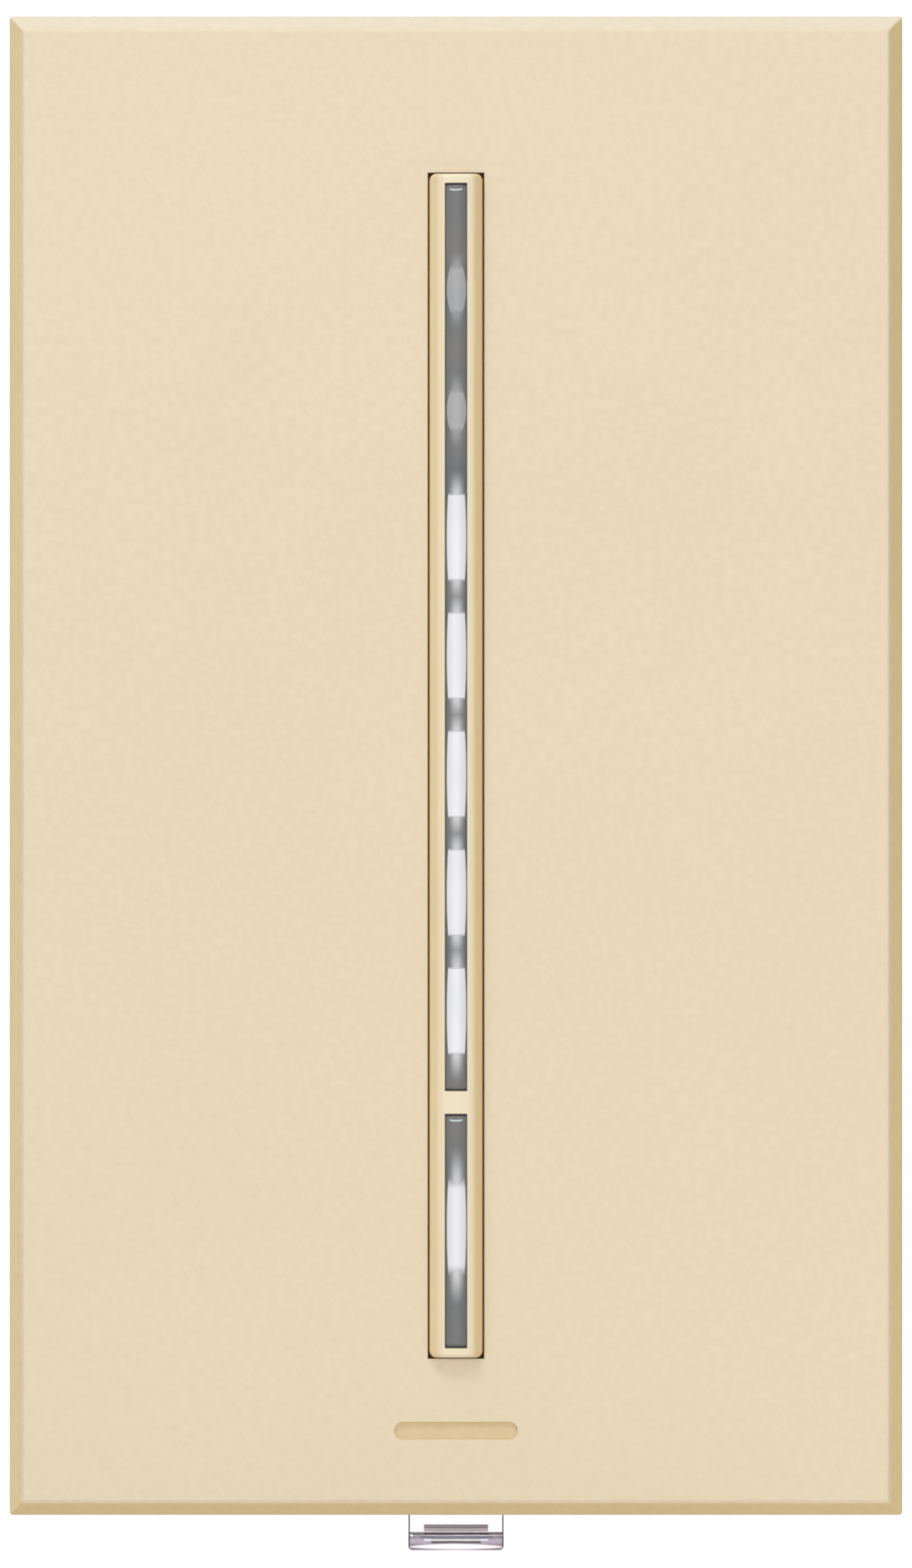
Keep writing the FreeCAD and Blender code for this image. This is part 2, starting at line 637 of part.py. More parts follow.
# ---------------------------------------------------------------- light bar


def crowned_profile(sketch, half, shoulder, crown, foot, slope=None):
    """A bar's cross-section on XY: side walls, sloped shoulders if any, and an arc over the top."""
    corner = slope or (half, shoulder)
    right = [(half, f"-({foot})"), (half, f"-({shoulder})")]
    if slope:
        right.append((slope[0], f"-({slope[1]})"))
    chain = [(f"-({x})", y) for x, y in reversed(right)] + right
    chain = [(x.replace("-(-", "("), y) for x, y in chain]
    places = [point(x, y) for x, y in chain]
    count = len(chain)
    lines = [sketch.addGeometry(Part.LineSegment(a, b), False) for a, b in zip(places, places[1:])]
    crest = Vector(0, places[0].y - value(crown), 0)
    arc = sketch.addGeometry(Part.Arc(places[0], crest, places[-1]), False)
    for i, (x, y) in enumerate(chain[:-1]):
        locate(sketch, lines[i], 1, x, y)
    locate(sketch, lines[-1], 2, *chain[-1])
    for i in range(count - 2):
        sketch.addConstraint(Sketcher.Constraint("Coincident", lines[i], 2, lines[i + 1], 1))
    start, end = (1, 2) if (sketch.getPoint(arc, 1) - places[0]).Length < 1e-6 else (2, 1)
    sketch.addConstraint(Sketcher.Constraint("Coincident", lines[0], 1, arc, start))
    sketch.addConstraint(Sketcher.Constraint("Coincident", lines[-1], 2, arc, end))
    tie(sketch, "Radius", "crown_radius", f"(({corner[0]})^2 + ({crown})^2) / (2*({crown}))", arc)


def bezel():
    """Raised frame round the two touch bars, with a hidden flange that the adapter holds."""
    body = new_body("bezel")
    profile = new_sketch(body, "bezel_profile", "0", "XY_Plane")
    slope = ("crest_half", "bezel_crest - bezel_crown")
    crowned_profile(profile, "bezel_width/2", "bezel_shoulder", "bezel_crown", "flange_back", slope)
    bar = pad(body, "bezel_bar", profile, "bezel_length", symmetric=True)
    half = size("bezel_length") / 2
    wide = size("bezel_width") / 2
    crest = size("bezel_crest") - size("bezel_crown")
    ridges = edges_where(
        bar, lambda p: abs(abs(p.x) - size("crest_half")) < 1e-3 and abs(p.y + crest) < 1e-3
    )
    soft = dress(body, "Fillet", "bezel_ridge_round", bar, ridges, "ridge_round")
    corners = edges_where(soft, lambda p: abs(abs(p.z) - half) < 1e-4 and abs(abs(p.x) - wide) < 1e-4)
    rounded = dress(body, "Fillet", "bezel_corners", soft, corners, "0.6")
    high = -size("bezel_shoulder") - 0.02
    ends = edges_where(rounded, lambda p: abs(abs(p.z) - half) < 1e-4 and p.y < high)
    dress(body, "Fillet", "bezel_end_round", rounded, ends, "0.35")

    flange = new_sketch(body, "bezel_flange", "flange_back")
    centred(flange, "flange_width", "flange_length")
    pad(body, "bezel_flange_pad", flange, "flange_front - flange_back")
    for side in SIDES:
        ears = new_sketch(body, f"bezel_ears_{side + 1}", "flange_back")
        for row in EAR_ROWS:
            middle = f"{row}*ear_pitch"
            rectangle(
                ears, f"{side}*(flange_width/2 - 0.5)", f"{middle} - ear_half", f"{side}*ear_reach",
                f"{middle} + ear_half"
            )
        pad(body, f"bezel_ear_pads_{side + 1}", ears, "flange_front - flange_back")
    pegs = new_sketch(body, "bezel_pegs", "adapter_front - 1.15")
    bores = new_sketch(body, "bezel_peg_holes", "adapter_front - 1.15")
    for side in SIDES:
        for row in EAR_ROWS:
            circle(pegs, f"{side}*ear_hole_x", f"{row}*ear_pitch", "1.9")
            circle(bores, f"{side}*ear_hole_x", f"{row}*ear_pitch", "0.77")
    pad(body, "bezel_peg_pads", pegs, "flange_back - adapter_front + 1.2")
    pocket(body, "bezel_peg_hole_cuts", bores, "2.15", reverse=True)

    room = new_sketch(body, "bezel_pocket", "flange_back")
    centred(room, "well_width", "well_length")
    pocket(body, "bezel_pocket_cut", room, "pocket_roof - flange_back", reverse=True)
    channel = new_sketch(body, "bezel_channel", "flange_back")
    wall = "(window_sill + low_window_top)/2"
    rectangle(channel, "-channel_width/2", f"{wall} + 0.45", "channel_width/2", "channel_end")
    rectangle(channel, "-channel_width/2", "-channel_end", "channel_width/2", f"{wall} - 0.45")
    pocket(body, "bezel_channel_cut", channel, "channel_roof - flange_back", reverse=True)
    windows = new_sketch(body, "bezel_windows", "bezel_crest + 1")
    rectangle(windows, "-window_width/2", "window_sill", "window_width/2", "window_top")
    rectangle(windows, "-window_width/2", "low_window_sill", "window_width/2", "low_window_top")
    pocket(body, "bezel_window_cuts", windows, "bezel_crest + 1 - channel_roof + 0.5")

    clamps = new_sketch(body, "bezel_clamp_ribs", "board_front + 0.02")
    for side in SIDES:
        for row in (-3, -1, 1, 3):
            middle = f"{row}*board_length/8"
            rectangle(clamps, f"{side}*4.2", f"{middle} - 4", f"{side}*4.8", f"{middle} + 4")
    pad(body, "bezel_clamp_rib_pads", clamps, "pocket_roof - board_front + 0.1")


def touch_bar(label, low, high, first_post, post_count, post_pitch):
    """Translucent bar that shows in a window, with a hidden flange and posts that press the elastomer."""
    body = new_body(label)
    start, end = f"{low} + bar_gap", f"{high} - bar_gap"
    profile = new_sketch(body, label + "_profile", start, "XY_Plane")
    crowned_profile(profile, "bar_width/2", "bar_crest - bar_crown", "bar_crown", "bar_flange_back")
    head = pad(body, label + "_head", profile, f"({end}) - ({start})")
    high_up = -size("bar_crest") + size("bar_crown") + 0.02
    z_low = head.Shape.BoundBox.ZMin
    z_high = head.Shape.BoundBox.ZMax
    ends = edges_where(
        head, lambda p: p.y < high_up + 0.03 and (abs(p.z - z_low) < 1e-4 or abs(p.z - z_high) < 1e-4)
    )
    dress(body, "Fillet", label + "_end_round", head, ends, "0.25")
    flange = new_sketch(body, label + "_flange", "bar_flange_back")
    rectangle(
        flange, "-bar_flange_width/2", f"{start} - bar_overhang", "bar_flange_width/2",
        f"{end} + bar_overhang"
    )
    pad(body, label + "_flange_pad", flange, "bar_flange_front - bar_flange_back")
    post = new_sketch(body, label + "_post", "post_foot")
    rectangle(
        post, "-post_size/2", f"{first_post} - post_size/2", "post_size/2", f"{first_post} + post_size/2"
    )
    column = pad(body, label + "_post_pad", post, "bar_flange_back - post_foot")
    pattern(body, label + "_posts", column, "Z_Axis", f"{post_count - 1}*{post_pitch}", post_count)


def display():
    """Elastomers, touch strip, lamps, light pipes, display board and its header."""
    face = ("-rubber_front", "-rubber_back")
    keep(box("dimming_elastomer", ("-rubber_width/2", face[0], "window_sill + 0.4"),
             ("rubber_width/2", face[1], "window_top - 3")), "dimming_elastomer")
    keep(box("switch_elastomer", ("-rubber_width/2", face[0], "low_window_sill + 0.8"),
             ("rubber_width/2", face[1], "low_window_top - 0.4")), "switch_elastomer")
    keep(box("touch_strip", ("-1.5", "-strip_front", "low_window_sill + 0.4"),
             ("1.5", "-board_front", "window_top - 2.5")), "touch_strip")

    lamps, pipes = [], []
    heights = [f"led_first + {i}*led_pitch" for i in range(LED_COUNT)] + ["led_low"]
    for i, z in enumerate(heights):
        lamps.append(box(f"lamp_{i}", ("led_x - 0.75", "-board_front - 0.8", f"{z} - 1.5"),
                         ("led_x + 0.75", "-board_front", f"{z} + 1.5")))
        arm = box(
            f"pipe_arm_{i}", ("-0.8", "-pocket_roof + 0.1", f"{z} - 2.9"),
            ("led_x + 0.65", "-5.78", f"{z} + 2.9")
        )
        foot = box(
            f"pipe_foot_{i}", ("led_x - 0.7", "-6", f"{z} - 1.6"),
            ("led_x + 0.65", "-board_front - 0.85", f"{z} + 1.6")
        )
        stem = box(
            f"pipe_stem_{i}", ("-0.8", "-7.65", f"{z} - 2.9"), ("0.8", "-pocket_roof + 0.2", f"{z} + 2.9")
        )
        pipes.append(fused(f"pipe_{i}", [arm, foot, stem]))
    keep(group("lamps", lamps), "lamps")
    keep(group("light_pipes", pipes), "light_pipes")

    keep(box("display_board", ("-board_width/2", "-board_front", "-board_length/2"),
             ("board_width/2", "-board_back", "board_length/2")), "display_board")
    pins = []
    holes = []
    first = -(PIN_COUNT - 1) / 2 * PIN_PITCH
    for i in range(PIN_COUNT):
        z = f"{first + i * PIN_PITCH}"
        pins.append(rod(f"header_pin_{i}", ("0", "-board_back + 0.2", z), "y", "6", "0.3"))
        holes.append(rod(f"socket_hole_{i}", ("0", "-1", z), "y", "4.6", "0.45"))
    base = box("header_base", ("-1.2", "-board_back", "-6.2"), ("1.2", "-board_back + 1.5", "6.2"))
    keep(fused("display_header", [base] + pins), "display_header")
    block = box("socket_block", ("-1.9", "-0.5", "-6.8"), ("1.9", "power_board_depth", "6.8"))
    keep(cut("header_socket", block, holes), "header_socket")


# ---------------------------------------------------------------- air-gap switch


def airgap_slider():
    """Clear slider: pull tab under the plate, frame round the lower box screw, and the cam on its foot."""
    body = new_body("airgap_slider")
    shape = new_sketch(body, "slider_outline", "slider_back")
    shoulder = "-(adapter_height/2 - skirt_inset - skirt_wall - pull_travel - 0.2)"
    outline(shape, [
        ("-tab_half", "-tab_end"), ("tab_half", "-tab_end"), ("tab_half", shoulder),
        ("slider_half", f"{shoulder} + 1.3"), ("slider_half", "-14.5"), ("-slider_half", "-14.5"),
        ("-slider_half", f"{shoulder} + 1.3"), ("-tab_half", shoulder),
    ])
    pad(body, "slider_plate", shape, "slider_front - slider_back")
    opening = new_sketch(body, "slider_opening", "slider_back")
    rectangle(
        opening, "-3.65", "-box_screw_pitch/2 - 3.9", "3.65", "-box_screw_pitch/2 + 3.9 + pull_travel"
    )
    pocket(body, "slider_opening_cut", opening, "slider_front - slider_back", reverse=True)
    lip = new_sketch(body, "slider_lip", "slider_back")
    rectangle(lip, "-tab_half", "-tab_end", "tab_half", "-lip_top")
    pad(body, "slider_lip_pad", lip, "lip_front - slider_back")
    rib = new_sketch(body, "slider_rib", "slider_back")
    rectangle(rib, "-2.7", "-lip_top - 0.2", "2.7", "-lip_top + 0.75")
    ribbed = pad(body, "slider_rib_pad", rib, "slider_front + 1.4 - slider_back")
    low = -size("tab_end")
    half = size("tab_half")
    corners = edges_where(ribbed, lambda p: abs(p.z - low) < 1e-4 and abs(abs(p.x) - half) < 1e-4)
    rounded = dress(body, "Fillet", "slider_lip_corners", ribbed, corners, "0.35")
    face, crown = -size("lip_front"), -size("slider_front") - 1.4
    brim = edges_where(rounded, lambda p: abs(p.y - face) < 1e-4 and abs(p.z + size("lip_top")) < 1e-4)
    softened = dress(body, "Fillet", "slider_lip_round", rounded, brim, "0.45")
    peak = -size("lip_top") + 0.75
    rib_top = edges_where(softened, lambda p: abs(p.y - crown) < 1e-4 and abs(p.z - peak) < 1e-4)
    dress(body, "Chamfer", "slider_rib_slope", softened, rib_top, "0.55")
    foot = new_sketch(body, "slider_foot", "-1", "YZ_Plane")
    ramp = "leaf_front - cam_clearance"
    outline(foot, [
        ("-slider_back - 0.2", "leaf_top - 1.8"), (f"{ramp} - 1.8*cam_slope", "leaf_top - 1.8"),
        (f"{ramp} + 4.6*cam_slope", "leaf_top + 4.6"), ("-slider_back - 0.2", "leaf_top + 4.6"),
    ])
    pad(body, "slider_foot_pad", foot, "2")


def airgap_contacts():
    """Leaf with its contact, the bracket it turns on, and the fixed contact."""
    low = "leaf_top - leaf_width"
    middle = "leaf_top - leaf_width/2"
    back = "leaf_front + leaf_thickness"
    axis_depth = "leaf_front + leaf_thickness/2"
    blade = box("leaf_blade", ("leaf_root + 0.3", "leaf_front", low), ("leaf_tip", back, "leaf_top"))
    eye = rod("leaf_eye", ("leaf_root", axis_depth, low), "z", "leaf_width", "0.65")
    bore = rod("leaf_bore", ("leaf_root", axis_depth, f"{low} - 1"), "z", "leaf_width + 2", "0.38")
    keep(cut("airgap_leaf", fused("leaf_blank", [blade, eye]), [bore]), "airgap_leaf")
    keep(
        rod("moving_contact", ("contact_x", "leaf_front - 0.57", middle), "y", "0.57", "contact_radius"),
        "moving_contact"
    )

    pin = rod("leaf_pin", ("leaf_root", axis_depth, f"{low} - 0.8"), "z", "leaf_width + 1.6", "0.34")
    foot = box("anchor_foot", ("leaf_root - 3", "power_board_depth - 0.6", f"{low} - 0.8"),
               ("leaf_root + 0.8", "power_board_depth", "leaf_top + 0.8"))
    arms = [
        box(
            f"anchor_arm_{i}", ("leaf_root - 0.8", f"{axis_depth} - 0.9", z),
            ("leaf_root + 0.8", "power_board_depth", f"{z} + 0.6")
        )
        for i, z in enumerate((f"{low} - 0.8", "leaf_top + 0.2"))
    ]
    keep(fused("leaf_anchor", [pin, foot] + arms), "leaf_anchor")

    arm = box("fixed_arm", ("contact_x - 1.6", "1.4", low), ("contact_x + 3.6", "2", "leaf_top"))
    upright = box(
        "fixed_upright", ("contact_x + 3", "1.4", low), ("contact_x + 3.6", "power_board_depth", "leaf_top")
    )
    base = box("fixed_base", ("contact_x + 3", "power_board_depth - 0.6", low),
               ("contact_x + 6.5", "power_board_depth", "leaf_top"))
    tip = rod("fixed_tip", ("contact_x", "1.9", middle), "y", "0.7", "contact_radius")
    keep(fused("fixed_contact", [arm, upright, base, tip]), "fixed_contact")


# ---------------------------------------------------------------- power module


def back_cover():
    """Deep case behind the yoke, with screw bosses, terminal recesses, wire holes and vents."""
    body = doc.addObject("PartDesign::Body", "case_body")
    base = new_sketch(body, "case_outline")
    centred(base, "case_width", "case_height")
    block = pad(body, "case_block", base, "case_depth", reverse=True)
    corners = edges_where(block, corner_at(size("case_width"), size("case_height")))
    rounded = dress(body, "Fillet", "case_corners", block, corners, "case_corner")
    deep = size("case_depth")
    rim = edges_where(rounded, lambda p: abs(p.y - deep) < 1e-4)
    dress(body, "Fillet", "case_back_round", rounded, rim, "0.8")
    hollow = new_sketch(body, "case_hollow")
    centred(hollow, "case_width - 2*case_wall", "case_height - 2*case_wall")
    pocket(body, "case_cavity", hollow, "case_depth - case_wall")
    bosses = new_sketch(body, "case_bosses")
    for side in SIDES:
        for row in SIDES:
            circle(bosses, f"{side}*case_screw_x", f"{row}*case_screw_z", "case_boss")
    pad(body, "case_boss_pads", bosses, "case_depth - 0.5", reverse=True)

    tools, blocks = [], []
    for i, (side, row) in enumerate(TERMINALS):
        z = f"{row}*terminal_z"
        inner = "recess_floor - recess_wall"
        outer = "case_width/2 - case_wall/2"
        near, far = (inner, outer) if side > 0 else (f"-({outer})", f"-({inner})")
        blocks.append(box(f"terminal_block_{i}",
                          (near, "terminal_depth - recess_half_y - recess_wall",
                           f"{z} - recess_half_z - recess_wall"),
                          (far, "case_depth - case_wall/2", f"{z} + recess_half_z + recess_wall")))
        near, far = "recess_floor", "case_width/2 + 1"
        if side < 0:
            near, far = "-case_width/2 - 1", "-recess_floor"
        tools.append(box(f"recess_{i}", (near, "terminal_depth - recess_half_y", f"{z} - recess_half_z"),
                         (far, "terminal_depth + recess_half_y", f"{z} + recess_half_z")))
        start = "recess_floor - 1.1" if side > 0 else "-recess_floor - 1"
        tools.append(rod(f"recess_tip_{i}", (start, "terminal_depth", z), "x", "2.1", "2"))
        mouth = (f"{side}*wire_x", "terminal_depth + recess_half_y - 1", f"{z} + wire_offset")
        tools.append(rod(f"wire_hole_{i}", mouth,
                         "y", "case_depth", "wire_radius"))
    for side in SIDES:
        for row in SIDES:
            x, z = f"{side}*case_screw_x", f"{row}*case_screw_z"
            tools.append(rod(f"case_hole_{side + 1}{row + 1}", (x, "-1", z), "y", "case_depth + 2", "1.25"))
            tools.append(rod(f"case_bore_{side + 1}{row + 1}", (x, "case_depth - 2.2", z), "y", "3", "2.3"))
    for row in SIDES:
        wall = f"{row}*(case_height/2 - case_wall/2)"
        for i in range(-2, 3):
            tools.append(
                box(
                    f"vent_{row + 1}_{i + 2}", (f"{i}*5 - 0.9", "10", f"{wall} - 1.5"),
                    (f"{i}*5 + 0.9", "25", f"{wall} + 1.5")
                )
            )
    tools.append(box("label_seat", ("-9", "case_depth - 0.3", "-20"), ("9", "case_depth + 1", "24")))
    shell = fused("case_shell", [body] + blocks)
    keep(cut("back_cover", shell, tools), "back_cover")
    keep(
        box("rating_label", ("-8.8", "case_depth - 0.3", "-19.8"), ("8.8", "case_depth - 0.15", "23.8")),
        "rating_label"
    )


def terminals():
    """Screw, pressure plate and threaded block of each wire terminal."""
    screws, plates, blocks = [], [], []
    for i, (side, row) in enumerate(TERMINALS):
        z = f"{row}*terminal_z"

        def span(near, far):
            return (near, far) if side > 0 else (f"-({far})", f"-({near})")

        def along(near, far):
            low, _ = span(near, far)
            return (low, "terminal_depth", z), "x", f"({far}) - ({near})"

        head = rod(f"terminal_head_{i}", *along("wire_x + 2.5", "wire_x + 4.2"), "3.2")
        shank = rod(f"terminal_shank_{i}", *along("recess_floor - 0.9", "wire_x + 3"), "1.75")
        low, high = span("wire_x + 3.4", "wire_x + 5")
        slot = box(
            f"terminal_slot_{i}", (low, "terminal_depth - 4", f"{z} - 0.4"),
            (high, "terminal_depth + 4", f"{z} + 0.4")
        )
        screws.append(cut(f"terminal_screw_{i}", fused(f"terminal_blank_{i}", [head, shank]), [slot]))
        low, high = span("wire_x + 1.45", "wire_x + 2.45")
        plate = box(
            f"pressure_plate_{i}", (low, "terminal_depth - 4.3", f"{z} - 4.3"),
            (high, "terminal_depth + 4.3", f"{z} + 4.3")
        )
        hole = rod(f"pressure_hole_{i}", *along("wire_x + 1", "wire_x + 3"), "1.95")
        plates.append(cut(f"pressure_{i}", plate, [hole]))
        low, high = span("recess_floor + 0.02", "wire_x - 1.45")
        nut = box(
            f"nut_plate_{i}", (low, "terminal_depth - 4.6", f"{z} - 4.5"),
            (high, "terminal_depth + 4.6", f"{z} + 4.5")
        )
        thread = rod(f"nut_hole_{i}", *along("recess_floor - 1", "wire_x"), "1.77")
        blocks.append(cut(f"nut_{i}", nut, [thread]))
    keep(group("terminal_screws", screws), "terminal_screws")
    keep(group("pressure_plates", plates), "pressure_plates")
    keep(group("terminal_nuts", blocks), "terminal_nuts")


def boards():
    """Power board and the insulating sheet between it and the yoke."""
    body = new_body("power_board")
    shape = new_sketch(body, "board_outline", "-power_board_depth")
    x, z = "(case_width/2 - case_wall - 0.4)", "(case_height/2 - case_wall - 0.4)"
    nx, nz = "(case_screw_x - case_boss - 0.3)", "(case_screw_z - case_boss - 0.3)"
    outline(shape, [
        (f"-{nx}", f"-{z}"), (nx, f"-{z}"), (nx, f"-{nz}"), (x, f"-{nz}"), (x, nz), (nx, nz),
        (nx, z), (f"-{nx}", z), (f"-{nx}", nz), (f"-{x}", nz), (f"-{x}", f"-{nz}"), (f"-{nx}", f"-{nz}"),
    ])
    pad(body, "board_pad", shape, "power_board_thickness", reverse=True)

    sheet = new_body("insulator_sheet")
    film = new_sketch(sheet, "film_outline", "-0.03")
    outline(film, [
        (f"-{nx}", f"-{z}"), (nx, f"-{z}"), (nx, f"-{nz}"), (x, f"-{nz}"), (x, nz), (nx, nz),
        (nx, z), (f"-{nx}", z), (f"-{nx}", nz), (f"-{x}", nz), (f"-{x}", f"-{nz}"), (f"-{nx}", f"-{nz}"),
    ])
    pad(sheet, "film_pad", film, "0.25", reverse=True)
    holes = new_sketch(sheet, "film_windows", "-0.03")
    centred(holes, "7", "16.6")
    rectangle(holes, "-2.2", "leaf_top - 7.2", "2.2", "leaf_top + 5.4")
    rectangle(holes, "-15.5", "13.8", "-4.5", "31")
    pocket(sheet, "film_window_cuts", holes, "0.3")


def power_parts():
    """Triac with its pad and rivet, choke, capacitors, varistor, fuse, resistors and controller."""
    x = -10.0
    tab = box("triac_tab", (f"{x} - 5", "0.3", "14.6"), (f"{x} + 5", "1.55", "30.2"))
    hole = rod("triac_hole", (f"{x}", "-1", "27.2"), "y", "4", "1.8")
    resin = box("triac_resin", (f"{x} - 5", "0.3", "14.6"), (f"{x} + 5", "4.7", "23.8"))
    pieces = [cut("triac_frame", fused("triac_blank", [tab, resin]), [hole])]
    for i in (-1, 0, 1):
        lead_x = f"{x} + {i}*2.54"
        pieces.append(
            box(
                f"triac_lead_{i + 1}", (f"{lead_x} - 0.4", "2.6", "12.2"),
                (f"{lead_x} + 0.4", "3.1", "14.7")
            )
        )
        pieces.append(
            box(
                f"triac_foot_{i + 1}", (f"{lead_x} - 0.4", "2.6", "12.2"),
                (f"{lead_x} + 0.4", "power_board_depth", "12.7")
            )
        )
    keep(fused("triac", pieces), "triac")
    film = box("triac_film", (f"{x} - 5.2", "0.02", "14.2"), (f"{x} + 5.2", "0.28", "30.6"))
    bore = rod("triac_film_hole", (f"{x}", "-1", "27.2"), "y", "4", "1.8")
    keep(cut("triac_pad", film, [bore]), "triac_pad")
    shank = rod(
        "rivet_shank", (f"{x}", "-yoke_thickness - 0.3", "27.2"), "y", "yoke_thickness + 2.2", "1.5"
    )
    heads = [
        rod("rivet_front", (f"{x}", "-yoke_thickness - 0.7", "27.2"), "y", "0.7", "2.6"),
        rod("rivet_back", (f"{x}", "1.56", "27.2"), "y", "0.9", "2.7"),
    ]
    keep(fused("triac_rivet", [shank] + heads), "triac_rivet")

    axis = ("choke_x", "core_front", "choke_z")
    ring = rod("core_ring", axis, "y", "core_height", "core_outer")
    bore = rod("core_bore", ("choke_x", "core_front - 1", "choke_z"), "y", "core_height + 2", "core_inner")
    keep(cut("choke_core", ring, [bore]), "choke_core")
    skin = rod("winding_skin", ("choke_x", "core_front - winding_wall", "choke_z"), "y",
               "core_height + 2*winding_wall", "core_outer + winding_wall")
    eye = rod(
        "winding_eye", ("choke_x", "core_front - 2", "choke_z"), "y", "core_height + 4",
        "core_inner - winding_wall"
    )
    room = rod(
        "winding_room", ("choke_x", "core_front - 0.02", "choke_z"), "y", "core_height + 0.04",
        "core_outer + 0.02"
    )
    hub = rod(
        "winding_hub", ("choke_x", "core_front - 0.02", "choke_z"), "y", "core_height + 0.04",
        "core_inner - 0.02"
    )
    hollow = cut("winding_hollow", room, [hub])
    keep(cut("choke_winding", skin, [eye, hollow]), "choke_winding")

    floor = "power_board_depth + power_board_thickness"
    keep(box("film_capacitor", ("-8", floor, "-6.6"), ("9", "22.5", "3.2")), "film_capacitor")
    keep(
        rod("electrolytic_capacitor", ("-3.2", floor, "-13.4"), "y", "16.5", "5"), "electrolytic_capacitor"
    )
    disc = rod("varistor_disc", ("4.8", f"{floor} + 6", "-13.6"), "x", "3.4", "4.6")
    legs = []
    for i in (-0.5, 0.5):
        z = f"(-13.6 + {i}*5)"
        legs.append(box(f"varistor_leg_{i}", ("6.2", floor, f"{z} - 0.35"), ("6.9", f"{floor} + 3", f"{z} + 0.35")))
    keep(fused("varistor", [disc] + legs), "varistor")
    tube = rod("fuse_tube", ("-5.5", f"{floor} + 2.6", "-25.4"), "x", "11", "2")
    caps = [
        rod(f"fuse_cap_{i}", (start, f"{floor} + 2.6", "-25.4"), "x", "2.6", "2.25")
        for i, start in enumerate(("-6.5", "3.9"))
    ]
    legs = [
        box(f"fuse_leg_{i}", (f"{start} - 0.4", floor, "-25.8"), (f"{start} + 0.4", f"{floor} + 2.6", "-25"))
        for i, start in enumerate(("-6.9", "6.9"))
    ]
    tails = [
        rod(f"fuse_tail_{i}", (start, f"{floor} + 2.6", "-25.4"), "x", "1.4", "0.4")
        for i, start in enumerate(("-7.3", "5.9"))
    ]
    keep(fused("fuse", [tube] + caps + legs + tails), "fuse")
    resistors = []
    for i, start in enumerate(("-8.4", "-13")):
        trunk = rod(f"resistor_body_{i}", (start, f"{floor} + 2", "21.6"), "z", "7", "1.4")
        wire = rod(f"resistor_wire_{i}", (start, f"{floor} + 2", "20.2"), "z", "9.8", "0.35")
        ends = []
        for j, z in enumerate(("20.2", "30")):
            ends.append(box(f"resistor_leg_{i}{j}", (f"{start} - 0.35", floor, f"{z} - 0.35"),
                            (f"{start} + 0.35", f"{floor} + 2.3", f"{z} + 0.35")))
        resistors.append(fused(f"resistor_{i}", [trunk, wire] + ends))
    keep(group("resistors", resistors), "resistors")
    chip = box(
        "chip_resin", ("7", "power_board_depth - 1.3", "-3.5"), ("14", "power_board_depth - 0.2", "3.5")
    )
    leads = []
    for i in range(-3, 4):
        leads.append(box(f"chip_leads_{i + 3}", ("6.1", "power_board_depth - 0.7", f"{i}*0.95 - 0.2"),
                         ("14.9", "power_board_depth", f"{i}*0.95 + 0.2")))
    keep(fused("controller", [chip] + leads), "controller")


# ---------------------------------------------------------------- build, check and write

cover_plate()
adapter_plate()
yoke()
fasteners()
bezel()
touch_bar("dimming_bar", "window_sill", "window_top", "led_first - led_pitch/2", LED_COUNT + 1, "led_pitch")
touch_bar("switch_bar", "low_window_sill", "low_window_top", "led_low - 7.3", 2, "14.6")
display()
airgap_slider()
airgap_contacts()
back_cover()
terminals()
boards()
power_parts()
doc.recompute()

failed = [f"{o.Name}: {o.State}" for o in doc.Objects if {"Invalid", "Error"} & set(o.State)]
failed += [f"{p.Label}: bad shape" for p in parts if p.Shape.isNull() or not p.Shape.isValid()]
failed += [f"{p.Label}: no solid" for p in parts if not p.Shape.Solids]
if failed:
    raise SystemExit("\n".join(failed))
os.makedirs("parts", exist_ok=True)
for part in parts:
    part.Shape.exportStep(f"parts/{part.Label}.step")
    print(part.Label, len(part.Shape.Solids), "solids,", round(part.Shape.Volume, 2), "mm3")
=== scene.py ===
"""Looks of the touch dimmer: moulded cover plate, light bar, clear pull tab and the power module behind it.

X is to the right, Y into the wall and Z up. Lengths are metres, and MM turns millimetres into them.
"""
import math

import bpy
import numpy as np
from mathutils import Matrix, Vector


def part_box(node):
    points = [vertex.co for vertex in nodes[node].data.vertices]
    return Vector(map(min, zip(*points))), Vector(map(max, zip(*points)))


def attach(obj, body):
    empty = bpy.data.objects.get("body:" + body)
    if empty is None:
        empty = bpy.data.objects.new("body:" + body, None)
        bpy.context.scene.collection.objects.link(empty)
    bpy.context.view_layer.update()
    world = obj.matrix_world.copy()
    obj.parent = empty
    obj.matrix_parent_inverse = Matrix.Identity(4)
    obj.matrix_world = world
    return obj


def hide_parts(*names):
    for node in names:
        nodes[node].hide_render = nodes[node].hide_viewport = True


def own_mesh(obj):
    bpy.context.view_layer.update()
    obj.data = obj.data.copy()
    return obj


MM = 0.001
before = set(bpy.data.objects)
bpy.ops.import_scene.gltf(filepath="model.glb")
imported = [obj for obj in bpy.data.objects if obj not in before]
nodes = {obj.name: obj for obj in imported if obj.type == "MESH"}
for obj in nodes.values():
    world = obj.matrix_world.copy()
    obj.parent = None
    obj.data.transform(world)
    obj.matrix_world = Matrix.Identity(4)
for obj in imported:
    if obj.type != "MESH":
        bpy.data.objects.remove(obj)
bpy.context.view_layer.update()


# ---------------------------------------------------------------- surfaces


